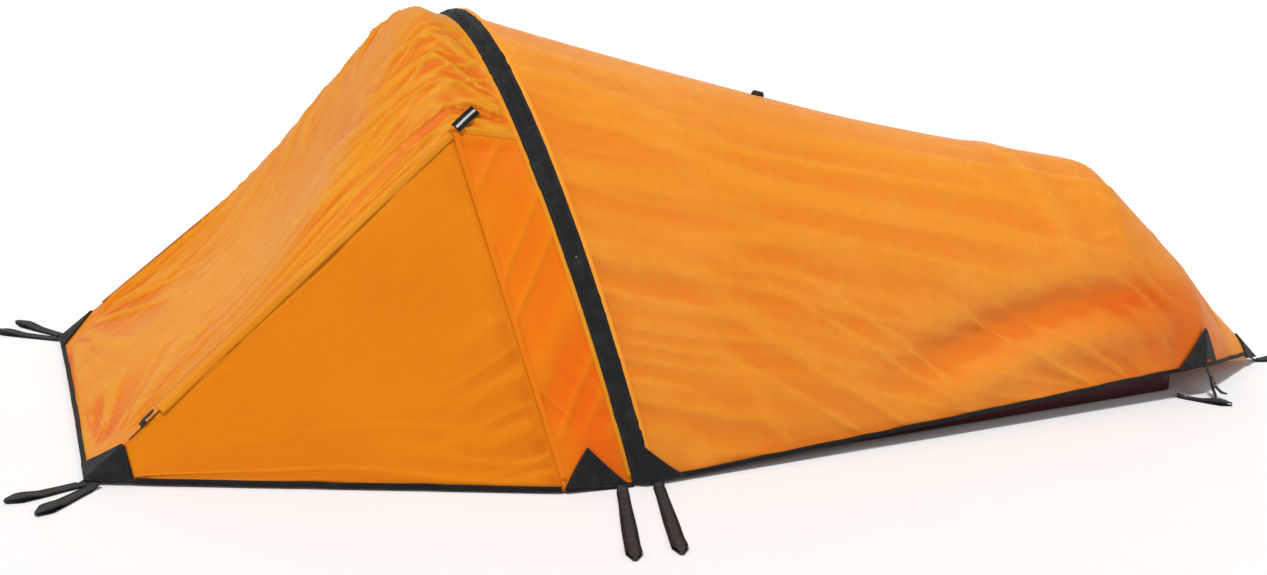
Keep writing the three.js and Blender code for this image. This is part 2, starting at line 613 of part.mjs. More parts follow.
// Where each strap leaves the hem and where its loop ends, on the far side, with z at its lower face.
const STRAPS = {
  front_fly_strap: [new THREE.Vector3(-1088, 456, 0), new THREE.Vector3(-1224, 524, 0)],
  front_floor_strap: [new THREE.Vector3(-1076, 483, 0), new THREE.Vector3(-1172, 592, 0)],
  hoop_fly_strap: [new THREE.Vector3(-58, 646, 0), new THREE.Vector3(-146, 959, 0)],
  hoop_floor_strap: [new THREE.Vector3(26, 632, 0), new THREE.Vector3(-49, 948, 0)],
  rear_floor_strap: [new THREE.Vector3(1594, 262, 0), new THREE.Vector3(1680, 328, 0)],
};
const REAR_STRAP_TOP = new THREE.Vector3(1652, 256, 66);
const LOCK_DROP = 26; // from the corner down to the lock's bar
const REAR_STRAP_FOOT = new THREE.Vector3(1672, 276, 1);

function placedStrap(from, to) {
  const length = from.distanceTo(to);
  const strap = new THREE.ExtrudeGeometry(strapProfile(length), {
    depth: STRAP_WIDTH,
    bevelEnabled: false,
    curveSegments: 3,
  });
  strap.translate(0, 0, -STRAP_WIDTH / 2);
  const along = to.clone().sub(from).normalize();
  const wide = along.clone().cross(new THREE.Vector3(0, 0, 1)).normalize();
  const basis = new THREE.Matrix4().makeBasis(along, wide.clone().cross(along), wide);
  basis.setPosition(from);
  return strap.applyMatrix4(basis);
}

// The ladder lock's frame: a plate with two slots either side of its bar.
const LOCK = { half: 17, reach: 11, rim: 3.5, bar: 4 };
function ladderLock() {
  const rectangle = (half, low, high) =>
    [[-half, low], [half, low], [half, high], [-half, high]].map(([x, y]) => new THREE.Vector2(x, y));
  const { half, reach, rim, bar } = LOCK;
  const frame = new THREE.Shape(rectangle(half, -reach, reach));
  for (const side of [-1, 1])
    frame.holes.push(new THREE.Path(rectangle(half - rim, (side * bar) / 2, side * (reach - 3))));
  return new THREE.ExtrudeGeometry(frame, { depth: BUCKLE_THICK, bevelEnabled: false });
}

// The strap that drops from each raised rear corner to the ground, with its ladder lock on the outer face.
function addRearFlyStrap(label, side) {
  const top = onSide(REAR_STRAP_TOP, side);
  const foot = onSide(REAR_STRAP_FOOT, side);
  const down = foot.clone().sub(top).normalize();
  const wide = new THREE.Vector3(side, -1, 0).normalize();
  const basis = new THREE.Matrix4().makeBasis(wide, down, wide.clone().cross(down));
  basis.setPosition(top);
  const drop = top.distanceTo(foot);
  const strap = new THREE.BoxGeometry(STRAP_WIDTH, drop, 2 * WEBBING).translate(0, drop / 2, 0);
  addMesh(`rear_fly_strap_${label}`, strap.applyMatrix4(basis), trimCloth());
  const outer = wide.clone().cross(down).x > 0;
  const offset = outer ? WEBBING + 0.5 : -WEBBING - 0.5 - BUCKLE_THICK;
  const lock = ladderLock().translate(0, LOCK_DROP, offset);
  addMesh(`rear_ladder_lock_${label}`, lock.applyMatrix4(basis), plastic());
}

function addStraps() {
  for (const [label, side] of SIDES) {
    for (const [name, [from, to]] of Object.entries(STRAPS))
      addMesh(`${name}_${label}`, placedStrap(onSide(from, side), onSide(to, side)), trimCloth());
    addRearFlyStrap(label, side);
  }
  const tipStart = new THREE.Vector3(TIP_X + 10, 0, 0);
  const tipEnd = new THREE.Vector3(TIP_X + 90, 0, 0);
  addMesh("tip_strap", placedStrap(tipStart, tipEnd), trimCloth());
}

// ---------- the whole tent, standing on the ground at the middle of its plan ----------

addFlyPanels();
addInnerTent();
addSleeves();
addPoles();
addHems();
addPatches();
addTabs();
addZip();
addStraps();

const bounds = new THREE.Box3().setFromObject(tent);
const middle = bounds.getCenter(new THREE.Vector3());
tent.position.set(-middle.x, -middle.y, -bounds.min.z);

export default tent;
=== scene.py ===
import math
from collections import namedtuple

import bmesh
import bpy
import numpy as np
from mathutils import Matrix, Vector


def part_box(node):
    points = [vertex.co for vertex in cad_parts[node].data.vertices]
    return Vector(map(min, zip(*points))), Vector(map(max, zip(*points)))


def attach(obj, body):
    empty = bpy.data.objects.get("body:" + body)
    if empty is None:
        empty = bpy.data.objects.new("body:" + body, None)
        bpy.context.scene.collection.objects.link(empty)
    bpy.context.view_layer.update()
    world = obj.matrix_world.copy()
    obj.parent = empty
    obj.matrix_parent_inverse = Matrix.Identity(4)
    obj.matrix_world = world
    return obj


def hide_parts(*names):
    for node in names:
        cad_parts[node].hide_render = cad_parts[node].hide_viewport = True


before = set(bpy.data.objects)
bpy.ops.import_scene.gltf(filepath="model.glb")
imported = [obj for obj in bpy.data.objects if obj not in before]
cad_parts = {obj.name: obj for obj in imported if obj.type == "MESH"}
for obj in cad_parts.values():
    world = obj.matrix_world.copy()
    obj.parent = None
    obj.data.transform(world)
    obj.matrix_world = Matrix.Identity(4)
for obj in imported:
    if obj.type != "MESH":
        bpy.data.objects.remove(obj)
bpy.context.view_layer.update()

# Driving dimensions in metres, in the hoop's own frame: x = 0 at the front hoop's feet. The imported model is
# centred on its plan, so every point moves by SHIFT.
TUB_FRONT = 0.034
SHIFT = np.array([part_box("inner_floor_tub")[0].x - TUB_FRONT, 0.0, 0.0])
HOOP_HEIGHT = 0.860
HOOP_LEAN = 0.280
SIDE_POWER, TOP_POWER = 2.243, 1.685
HEM_Z = 0.006
BODY_SAG = 0.032
SLEEVE_HALF = 0.020
SLEEVE_CLEAR = 0.022
INNER_INSET = 0.048
INNER_RIM = 0.097
RAMP_HOOP_SHARE = 0.4
SHOULDER_ALONG = 0.25
SHOULDER = np.array([-0.372, 0.348, 0.670])
STRIP_FOOT = np.array([-0.175, 0.630, HEM_Z])
FRONT_CORNER = np.array([-1.078, 0.451, HEM_Z])
REAR_CORNER = np.array([1.643, 0.2405, 0.079])
TIP = np.array([2.016, 0.0, 0.008])

Hoop = namedtuple("Hoop", "width height lean x base")
HEM_SHARE = 1.359 / 1.643
FRONT_HOOP = Hoop(1.224, HOOP_HEIGHT, HOOP_LEAN, 0.0, HEM_Z)
REAR_HOOP = Hoop(1.224 + (0.481 - 1.224) * HEM_SHARE, 0.553, 0.0, 1.359, 0.079 * HEM_SHARE)
REAR_POLE_HOOP = REAR_HOOP._replace(x=1.349)
CORNER_HOOP = Hoop(0.481, 0.553 - (0.553 - 0.008) * (1.643 - 1.359) / (2.016 - 1.359), 0.0, 1.643,
                   0.079)
SLOPE = np.array([-HOOP_LEAN, 0, HOOP_HEIGHT]) / math.hypot(HOOP_LEAN, HOOP_HEIGHT)
ACROSS = np.array([SLOPE[2], 0, -SLOPE[0]])
NEAR, FAR = -1, 1
SIDES = (("near", NEAR), ("far", FAR))

PATCH_RISE = 0.0048  # the corner patches' height over the fly's smooth surface


# ---------- curves and surfaces, as arrays of points ----------

def lerp(a, b, t):
    t = np.asarray(t, float)[..., None]
    return np.asarray(a) * (1 - t) + np.asarray(b) * t


def unit(v):
    return v / np.maximum(np.linalg.norm(v, axis=-1, keepdims=True), 1e-12)


def smooth(x, low, high):
    t = np.clip((np.asarray(x, float) - low) / (high - low), 0, 1)
    return t * t * (3 - 2 * t)


def bump(x, middle, width):
    return np.exp(-(((np.asarray(x, float) - middle) / width) ** 2))


def on_side(points, side):
    return np.asarray(points) * np.array([1.0, side, 1.0])


def hoop_point(share, hoop):
    """share -1 and 1 are the hoop's feet on the near and far side, 0 its apex."""
    share = np.asarray(share, float)
    angle = np.pi / 2 * (1 - np.minimum(np.abs(share), 1))
    z = hoop.base + (hoop.height - hoop.base) * np.sin(angle) ** (2 / TOP_POWER)
    y = np.sign(share) * hoop.width / 2 * np.clip(np.cos(angle), 0, None) ** (2 / SIDE_POWER)
    return np.stack([hoop.x - hoop.lean * z / hoop.height, y, z], -1)


def body_point(share, along, inset=0.0):
    def shrink(hoop):
        base = INNER_RIM if inset else hoop.base
        return hoop._replace(width=hoop.width - 2 * inset, height=hoop.height - inset, base=base)
    a, b = hoop_point(share, shrink(FRONT_HOOP)), hoop_point(share, shrink(REAR_HOOP))
    a[..., 0] += SLEEVE_CLEAR * ACROSS[0] + (INNER_INSET / 2 if inset else 0)
    p = lerp(a, b, along)
    lift = np.minimum(1.4 * (p[..., 2] - HEM_Z) / HOOP_HEIGHT, 1)
    p[..., 2] -= BODY_SAG * np.sin(np.pi * np.asarray(along)) * lift
    return p


def foot_point(share, along):
    """The foot end: along 0 at the rear hoop, 0.5 at the rear corners, 1 at the edge through the tip."""
    share, along = np.broadcast_arrays(np.asarray(share, float), np.asarray(along, float))
    corner = REAR_CORNER * np.stack([np.ones_like(share), np.sign(share), np.ones_like(share)], -1)
    section = hoop_point(share, CORNER_HOOP)
    near = lerp(hoop_point(share, REAR_HOOP), section, along * 2)
    edge = lerp(TIP, corner, np.abs(share))
    return np.where((along <= 0.5)[..., None], near, lerp(section, edge, along * 2 - 1))


def fly_body_point(share, w):
    """The body for w from 0 to 1 and the foot end for w from 1 to 2."""
    share, w = np.broadcast_arrays(np.asarray(share, float), np.asarray(w, float))
    return np.where((w <= 1)[..., None], body_point(share, np.minimum(w, 1)),
                    foot_point(share, np.maximum(w - 1, 0)))


def inner_foot_point(share, along):
    share, along = np.broadcast_arrays(np.asarray(share, float), np.asarray(along, float))
    back = REAR_CORNER[0] - 1.8 * INNER_INSET
    corner = np.stack([np.full_like(share, back), np.sign(share) * (REAR_CORNER[1] - INNER_INSET),
                       np.full_like(share, INNER_RIM)], -1)
    end = lerp(np.array([back + 0.020, 0, INNER_RIM]), corner, np.abs(share))
    return lerp(body_point(share, np.ones_like(share), INNER_INSET), end, along)


def centripetal(points, t):
    """A centripetal Catmull-Rom curve through the points, t from 0 to 1."""
    points = [np.asarray(p, float) for p in points]
    points = [2 * points[0] - points[1], *points, 2 * points[-1] - points[-2]]
    place = np.clip(np.asarray(t, float), 0, 1) * (len(points) - 3)
    made = np.zeros(place.shape + (3,))
    for i in range(len(points) - 3):
        p0, p1, p2, p3 = points[i:i + 4]
        d0, d1, d2 = (math.sqrt(np.linalg.norm(b - a)) for a, b in ((p0, p1), (p1, p2), (p2, p3)))
        m1 = ((p1 - p0) / d0 - (p2 - p0) / (d0 + d1) + (p2 - p1) / d1) * d1
        m2 = ((p2 - p1) / d1 - (p3 - p1) / (d1 + d2) + (p3 - p2) / d2) * d1
        u = (place - i)[..., None]
        value = p1 + m1 * u + (3 * (p2 - p1) - 2 * m1 - m2) * u**2 + (2 * (p1 - p2) + m1 + m2) * u**3
        here = (place >= i) & (place <= i + 1)
        made[here] = value[here]
    return made


HOOP_APEX = hoop_point(0.0, FRONT_HOOP)
CREST = [HOOP_APEX - SLEEVE_CLEAR * ACROSS, (-0.381, 0, 0.866), (-0.470, 0, 0.742),
         (-0.705, 0, 0.345),
         (-1.078, 0, HEM_Z)]


def ramp_point(share, along):
    """The ramp: share across from -1 to 1, along 0 at the hoop and 1 at the front edge."""
    share, along = np.broadcast_arrays(np.asarray(share, float), np.asarray(along, float))
    start = hoop_point(RAMP_HOOP_SHARE, FRONT_HOOP) - SLEEVE_CLEAR * ACROSS
    upper = lerp(start, SHOULDER, np.clip(along / SHOULDER_ALONG, 0, 1))
    lower = lerp(SHOULDER, FRONT_CORNER,
                 np.clip((along - SHOULDER_ALONG) / (1 - SHOULDER_ALONG), 0, 1))
    edge = np.where((along < SHOULDER_ALONG)[..., None], upper, lower)
    top = centripetal(CREST, along)
    side = hoop_point(share * RAMP_HOOP_SHARE, FRONT_HOOP)
    corner = hoop_point(RAMP_HOOP_SHARE, FRONT_HOOP)
    lift = (side[..., 2] - corner[2]) / (HOOP_HEIGHT - corner[2])
    return np.stack([edge[..., 0] + (top[..., 0] - edge[..., 0]) * lift,
                     edge[..., 1] * side[..., 1] / corner[1],
                     edge[..., 2] + (top[..., 2] - edge[..., 2]) * lift], -1)


def strip_point(across, along):
    """The fixed strip beside the far half of the hoop: across 0 at the sleeve, along 0 at the ground."""
    across, along = np.broadcast_arrays(np.asarray(across, float), np.asarray(along, float))
    beside = hoop_point(1 - along * (1 - RAMP_HOOP_SHARE), FRONT_HOOP) - SLEEVE_CLEAR * ACROSS
    return lerp(beside, lerp(STRIP_FOOT, SHOULDER, along), across)


def toward(a, b, distance):
    return lerp(a, b, distance / np.linalg.norm(b - a))


PATCH_TOP = toward(FRONT_CORNER, SHOULDER, 0.100)
PATCH_END = toward(FRONT_CORNER, STRIP_FOOT, 0.092)


def door_point(s, t):
    """The far wall's plane: s from the corner patch to the hoop, t from the ground to the crease."""
    return lerp(lerp(PATCH_END, STRIP_FOOT, s), lerp(PATCH_TOP, SHOULDER, s), t)


# ---------- smooth noise for folds ----------

_tables = {}


def noise(u, v, seed):
    """Smooth value noise from -1 to 1 with one cell per unit."""
    if seed not in _tables:
        _tables[seed] = np.random.default_rng(seed).uniform(-1, 1, (97, 97))
    table = _tables[seed]
    i, j = np.floor(u).astype(int), np.floor(v).astype(int)
    fu, fv = u - i, v - j
    fu, fv = fu**3 * (fu * (6 * fu - 15) + 10), fv**3 * (fv * (6 * fv - 15) + 10)
    pick = lambda a, b: table[(i + a) % 97, (j + b) % 97]
    low = pick(0, 0) * (1 - fu) + pick(1, 0) * fu
    high = pick(0, 1) * (1 - fu) + pick(1, 1) * fu
    return low * (1 - fv) + high * fv


def folds(across, along, spacing, reach, seed, sharp=1.6):
    """Long folds side by side: narrow ridges about `spacing` apart, each about `reach` long."""
    wander = 0.35 * noise(along / reach * 1.7, across / spacing / 5, seed + 1)
    n = noise(across / spacing + wander, along / reach, seed)
    return (1 - np.abs(n)) ** (sharp * 2) - 0.45


def crease_shade(rise, depth, strength):
    """Painted shade: a darker tone in the narrow valleys between folds, where shade falls on the cloth."""
    blurred = rise.copy()
    for _ in range(30):
        blurred[:, 1:-1] = 0.25 * blurred[:, :-2] + 0.5 * blurred[:, 1:-1] + 0.25 * blurred[:, 2:]
        blurred[1:-1] = 0.25 * blurred[:-2] + 0.5 * blurred[1:-1] + 0.25 * blurred[2:]
    return strength * np.clip((blurred - rise) / depth, -0.6, 1.0)


# ---------- meshes ----------

def arcs(points):
    """Distances across and along a grid of points, measured over its surface."""
    step = np.linalg.norm(np.diff(points, axis=1), axis=-1)
    across = np.concatenate([np.zeros((len(points), 1)), np.cumsum(step, 1)], 1)
    across -= across[:, -1:] / 2
    step = np.linalg.norm(np.diff(points, axis=0), axis=-1)
    along = np.concatenate([np.zeros((1, points.shape[1])), np.cumsum(step, 0)], 0)
    return across, along


def grid_normals(points):
    return unit(np.cross(np.gradient(points, axis=1), np.gradient(points, axis=0)))


def make_object(name, vertices, faces, material, uv=None, body="tent", slot=None, tone=None):
    mesh = bpy.data.meshes.new(name)
    mesh.from_pydata((np.asarray(vertices) + SHIFT).tolist(), [], faces)
    mesh.polygons.foreach_set("use_smooth", [True] * len(mesh.polygons))
    corners = np.zeros(len(mesh.loops), int)
    mesh.loops.foreach_get("vertex_index", corners)
    if uv is not None:
        layer = mesh.uv_layers.new(name="cloth")
        layer.data.foreach_set("uv", np.asarray(uv, float).reshape(-1, 2)[corners].ravel())
    if tone is not None:
        mesh.attributes.new("tone", "FLOAT",
                            "POINT").data.foreach_set("value", np.asarray(tone, float).ravel())
    mesh.update()
    obj = bpy.data.objects.new(name, mesh)
    bpy.context.scene.collection.objects.link(obj)
    obj.data.materials.append(material)
    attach(obj, body)
    return obj


def grid_faces(rows, columns, closed=False):
    wrap = columns if closed else columns - 1
    j, i = np.meshgrid(np.arange(rows - 1), np.arange(wrap), indexing="ij")
    a, b = j * columns + i, j * columns + (i + 1) % columns
    return np.stack([a, b, b + columns, a + columns], -1).reshape(-1, 4).tolist()


def cloth(name, points, material, thick=0.0006, **options):
    """A thin sheet over a grid of points whose across x along direction is its outer face."""
    across, along = arcs(points)
    obj = make_object(name, points.reshape(-1, 3), grid_faces(*points.shape[:2]), material,
                      uv=np.stack([across, along], -1), **options)
    skin = obj.modifiers.new("cloth thickness", "SOLIDIFY")
    skin.thickness, skin.offset = thick, -1
    return obj


def declare(obj, smooth_points, **options):
    """Measures distances across and along the smooth surface that a sheet was cut for, and keeps nothing."""
    across, along = arcs(smooth_points)


def sweep(name, path, side, normal, profile, material, **options):
    """A solid whose section `profile`, (n, k, 2) or (k, 2) across and out, follows a path."""
    path = np.asarray(path, float)
    profile = np.broadcast_to(np.asarray(profile, float),
                              (len(path),) + np.asarray(profile).shape[-2:])
    side, normal = (np.broadcast_to(v, path.shape) for v in (side, normal))
    count = profile.shape[1]
    vertices = path[:, None] + profile[..., :1] * side[:, None] + profile[..., 1:] * normal[:, None]
    faces = grid_faces(len(path), count, closed=True)
    faces += [list(range(count))[::-1], [(len(path) - 1) * count + k for k in range(count)]]
    length = np.concatenate([[0], np.cumsum(np.linalg.norm(np.diff(path, axis=0), axis=1))])
    uv = np.stack([profile[..., 0], np.broadcast_to(length[:, None], profile.shape[:2])], -1)
    obj = make_object(name, vertices.reshape(-1, 3), faces, material, uv=uv, **options)
    mend_normals(obj)
    return obj


def mend_normals(obj):
    made = bmesh.new()
    made.from_mesh(obj.data)
    bmesh.ops.recalc_face_normals(made, faces=made.faces)
    made.to_mesh(obj.data)
    made.free()


def tape_profile(width, thick, corner=0.35, steps=3):
    """The rounded section of a tape or webbing that lies on the surface."""
    r = thick * corner
    points = []
    for x, y, start in ((width / 2, 0, -90), (width / 2, thick, 0), (-width / 2, thick, 90),
                        (-width / 2, 0, 180)):
        cx, cy = x - math.copysign(r, x), y + (r if y == 0 else -r)
        for k in range(steps):
            angle = math.radians(start + 90 * k / (steps - 1))
            points.append((cx + r * math.cos(angle), cy + r * math.sin(angle)))
    return np.array(points)


def resample(path, step):
    path = np.asarray(path, float)
    length = np.concatenate([[0], np.cumsum(np.linalg.norm(np.diff(path, axis=0), axis=1))])
    count = max(int(length[-1] / step), 2)
    places = np.linspace(0, length[-1], count)
    return np.stack([np.interp(places, length, path[:, k]) for k in range(path.shape[1])], -1)


def stitch_run(path, normals, pitch=0.0042, long=0.0030, radius=0.00042):
    """Vertices and faces of a run of stitches along a path."""
    data = resample(np.concatenate([path, np.broadcast_to(normals, np.shape(path))], 1), pitch)
    points, up = data[:, :3], unit(data[:, 3:])
    forward = unit(np.gradient(points, axis=0))
    sideways = unit(np.cross(up, forward))
    rings = []
    for x, r, rise in ((-0.5, 0.35, -0.3), (-0.25, 1.0, 0.35), (0.25, 1.0, 0.35),
                       (0.5, 0.35, -0.3)):
        for k in range(5):
            angle = 2 * math.pi * k / 5
            rings.append((x * long, math.cos(angle) * r * radius,
                          (math.sin(angle) * r + rise) * radius))
    rings = np.array(rings)
    vertices = (points[:, None] + rings[:, :1] * forward[:,
                                                         None] + rings[:, 1:2] * sideways[:, None]
                + rings[:, 2:] * up[:, None])
    one = grid_faces(4, 5, closed=True) + [[4, 3, 2, 1, 0], [15, 16, 17, 18, 19]]
    return vertices.reshape(-1, 3), [[v + 20 * n for v in face] for n in range(len(points)) for face in one]


def stitching(name, runs, material, body="tent"):
    vertices, faces = [], []
    for run in runs:
        v, f = stitch_run(*run)
        faces += [[k + len(vertices) for k in face] for face in f]
        vertices.extend(v)
    return make_object(name, np.array(vertices), faces, material, uv=np.array(vertices)[:, :2],
                       body=body)


# ---------- materials ----------

def nodes_of(name):
    material = bpy.data.materials.new(name)
    material.use_nodes = True
    tree = material.node_tree
    shader = tree.nodes["Principled BSDF"]
    return material, tree, shader


def node(tree, kind, values=(), **settings):
    made = tree.nodes.new(kind)
    for key, value in settings.items():
        setattr(made, key, value)
    for key, value in dict(values).items():
        if isinstance(value, bpy.types.NodeSocket):
            tree.links.new(value, made.inputs[key])
        else:
            made.inputs[key].default_value = value
    return made


def math_node(tree, operation, a, b=0.0):
    return node(tree, "ShaderNodeMath", {0: a, 1: b}, operation=operation).outputs[0]


def mix_colour(tree, factor, a, b, blend="MIX"):
    mixed = node(tree, "ShaderNodeMix", data_type="RGBA", blend_type=blend)
    for socket, value in (("Factor_Float", factor), ("A_Color", a), ("B_Color", b)):
        target = next(s for s in mixed.inputs if s.identifier == socket)
        if isinstance(value, bpy.types.NodeSocket):
            tree.links.new(value, target)
        else:
            target.default_value = value
    return next(s for s in mixed.outputs if s.identifier == "Result_Color")


def ramp_node(tree, value, low, high, dark=0.0, light=1.0):
    made = node(tree, "ShaderNodeMapRange",
                {"Value": value, "From Min": low, "From Max": high, "To Min": dark,
                                             "To Max": light}, interpolation_type="SMOOTHSTEP")
    return made.outputs[0]


def weave(tree, pitch):
    """Height of a plain weave from the cloth's own coordinates."""
    uv = node(tree, "ShaderNodeUVMap", uv_map="cloth").outputs[0]
    scale = 1 / (pitch * math.pi)
    bands = [node(tree, "ShaderNodeTexWave", {"Vector": uv, "Scale": scale, "Distortion": 0.3},
                  wave_type="BANDS", bands_direction=d).outputs["Fac"] for d in "XY"]
    return math_node(tree, "MULTIPLY", *bands), bands


def rgba(r, g, b):
    return (r, g, b, 1.0)


def coated_cloth(name, colour, deep, light, rough=0.50, pitch=0.0011):
    """Woven coated nylon: fine weave, crinkles, uneven dye, painted shade in the weave's hollows, and painted shade
    where the tone attribute says so.
    """
    material, tree, shader = nodes_of(name)
    where = node(tree, "ShaderNodeTexCoord").outputs["Object"]
    broad = node(tree, "ShaderNodeTexNoise",
                 {"Vector": where, "Scale": 2.2, "Detail": 3, "Roughness": 0.55}).outputs[0]
    fine = node(tree, "ShaderNodeTexNoise",
                {"Vector": where, "Scale": 38, "Detail": 5, "Roughness": 0.65}).outputs[0]
    tone = node(tree, "ShaderNodeAttribute", attribute_name="tone").outputs["Fac"]
    base = mix_colour(tree, ramp_node(tree, broad, 0.35, 0.68), rgba(*colour), rgba(*light))
    base = mix_colour(tree, ramp_node(tree, fine, 0.3, 0.75, 0.0, 0.16), base, rgba(*deep))
    # Painted shade: the tone attribute darkens the cloth toward the deep colour.
    base = mix_colour(tree, tone, base, rgba(*deep))
    height, _ = weave(tree, pitch)
    # Painted shade in the weave's hollows: the low spots between threads are tinted toward the deep colour.
    threads = mix_colour(tree, ramp_node(tree, height, 0.0, 0.8, 0.10, 0.0), base, rgba(*deep))
    tree.links.new(threads, shader.inputs["Base Color"])
    crinkle = node(tree, "ShaderNodeTexNoise",
                   {"Vector": where, "Scale": 30, "Detail": 4, "Roughness": 0.6,
                                                "Distortion": 1.4}).outputs[0]
    soft = node(tree, "ShaderNodeBump", {"Height": crinkle, "Strength": 0.35,
                                         "Distance": 0.0016}).outputs[0]
    fine_bump = node(tree, "ShaderNodeBump",
                     {"Height": height, "Strength": 0.30, "Distance": 0.00012, "Normal": soft})
    tree.links.new(fine_bump.outputs[0], shader.inputs["Normal"])
    tree.links.new(ramp_node(tree, fine, 0.25, 0.8, rough - 0.06, rough + 0.10),
                   shader.inputs["Roughness"])
    shader.inputs["Sheen Weight"].default_value = 0.04
    shader.inputs["Sheen Roughness"].default_value = 0.4
    shader.inputs["Sheen Tint"].default_value = rgba(1.0, 0.62, 0.30)
    shader.inputs["Specular IOR Level"].default_value = 0.13
    return material


def trim_cloth(name, colour, light, pitch=0.0022, rough=0.72, depth=0.00035):
    """Matt black woven reinforcement with dusty, worn high spots."""
    material, tree, shader = nodes_of(name)
    where = node(tree, "ShaderNodeTexCoord").outputs["Object"]
    wear = node(tree, "ShaderNodeTexNoise",
                {"Vector": where, "Scale": 24, "Detail": 5, "Roughness": 0.7}).outputs[0]
    height, _ = weave(tree, pitch)
    base = mix_colour(tree, ramp_node(tree, wear, 0.42, 0.75), rgba(*colour), rgba(*light))
    # Painted shade in the weave's hollows: the low spots between threads are darkened.
    base = mix_colour(tree, ramp_node(tree, height, 0.05, 0.9, 0.45, 0.0), base,
                      rgba(*(0.4 * c for c in colour)))
    tree.links.new(base, shader.inputs["Base Color"])
    creased = node(tree, "ShaderNodeBump",
                   {"Height": wear, "Strength": 0.5, "Distance": 0.0018}).outputs[0]
    woven = node(tree, "ShaderNodeBump", {"Height": height, "Strength": 0.6, "Distance": depth,
                                          "Normal": creased})
    tree.links.new(woven.outputs[0], shader.inputs["Normal"])
    tree.links.new(ramp_node(tree, wear, 0.3, 0.8, rough + 0.08, rough - 0.1),
                   shader.inputs["Roughness"])
    shader.inputs["Sheen Weight"].default_value = 0.05
    shader.inputs["Specular IOR Level"].default_value = 0.22
    return material


def webbing_cloth(name, colour, middle, half=0.012):
    """Flat woven webbing: ribs across it with painted shade in their hollows, darker worn patches, and a paler
    middle that is a painted sheen between dark edges.
    """
    material, tree, shader = nodes_of(name)
    uv = node(tree, "ShaderNodeUVMap", uv_map="cloth").outputs[0]
    parts = node(tree, "ShaderNodeSeparateXYZ", {0: uv}).outputs
    edge = ramp_node(tree, math_node(tree, "ABSOLUTE", parts[0]), half * 0.45, half * 0.9)
    where = node(tree, "ShaderNodeTexCoord").outputs["Object"]
    wear = node(tree, "ShaderNodeTexNoise", {"Vector": where, "Scale": 45, "Detail": 4}).outputs[0]
    height, bands = weave(tree, 0.0018)
    # Painted sheen: the middle of the webbing takes the paler colour and its edges the dark one.
    base = mix_colour(tree, edge, rgba(*middle), rgba(*colour))
    base = mix_colour(tree, ramp_node(tree, wear, 0.4, 0.8, 0, 0.5), base,
                      rgba(*(0.6 * c for c in colour)))
    # Painted shade in the rib hollows: the low spots between ribs are darkened.
    base = mix_colour(tree, ramp_node(tree, bands[1], 0.1, 0.8, 0.4, 0.0), base,
                      rgba(*(0.4 * c for c in colour)))
    tree.links.new(base, shader.inputs["Base Color"])
    ribs = math_node(tree, "ADD", math_node(tree, "MULTIPLY", bands[1], 0.8),
                     math_node(tree, "MULTIPLY", height, 0.5))
    woven = node(tree, "ShaderNodeBump",
                 {"Height": ribs, "Strength": 0.8, "Distance": 0.0005}).outputs[0]
    tree.links.new(woven, shader.inputs["Normal"])
    tree.links.new(ramp_node(tree, wear, 0.3, 0.8, 0.72, 0.5), shader.inputs["Roughness"])
    shader.inputs["Specular IOR Level"].default_value = 0.25
    return material


def hard_finish(name, colour, rough, metallic=0.0, grain=160.0):
    """Moulded nylon or satin metal with a fine grain and rubbed patches."""
    material, tree, shader = nodes_of(name)
    where = node(tree, "ShaderNodeTexCoord").outputs["Object"]
    speck = node(tree, "ShaderNodeTexNoise",
                 {"Vector": where, "Scale": grain, "Detail": 4}).outputs[0]
    rub = node(tree, "ShaderNodeTexNoise", {"Vector": where, "Scale": 14, "Detail": 3}).outputs[0]
    light = [min(1.0, c * 1.5 + 0.01) for c in colour]
    tree.links.new(mix_colour(tree, ramp_node(tree, rub, 0.45, 0.8, 0, 0.6), rgba(*colour),
                              rgba(*light)),
                   shader.inputs["Base Color"])
    tree.links.new(ramp_node(tree, rub, 0.3, 0.8, rough + 0.06, rough - 0.08),
                   shader.inputs["Roughness"])
    pits = node(tree, "ShaderNodeBump",
                {"Height": speck, "Strength": 0.25, "Distance": 0.0002}).outputs[0]
    tree.links.new(pits, shader.inputs["Normal"])
    shader.inputs["Metallic"].default_value = metallic
    return material


def insect_mesh(name, colour):
    """Fine knitted mesh, partly see-through."""
    material, tree, shader = nodes_of(name)
    where = node(tree, "ShaderNodeTexCoord").outputs["Object"]
    cells = node(tree, "ShaderNodeTexVoronoi",
                 {"Vector": where, "Scale": 620, "Randomness": 0.35}).outputs["Distance"]
    blot = node(tree, "ShaderNodeTexNoise", {"Vector": where, "Scale": 9, "Detail": 3}).outputs[0]
    base = mix_colour(tree, ramp_node(tree, cells, 0.1, 0.6), rgba(*(2.2 * c for c in colour)),
                      rgba(*colour))
    base = mix_colour(tree, ramp_node(tree, blot, 0.4, 0.7, 0, 0.4), base,
                      rgba(*(0.5 * c for c in colour)))
    tree.links.new(base, shader.inputs["Base Color"])
    knit = node(tree, "ShaderNodeBump",
                {"Height": cells, "Strength": 0.5, "Distance": 0.0003}).outputs[0]
    tree.links.new(knit, shader.inputs["Normal"])
    tree.links.new(ramp_node(tree, blot, 0.3, 0.7, 0.75, 0.9), shader.inputs["Roughness"])
    shader.inputs["Alpha"].default_value = 0.72
    return material


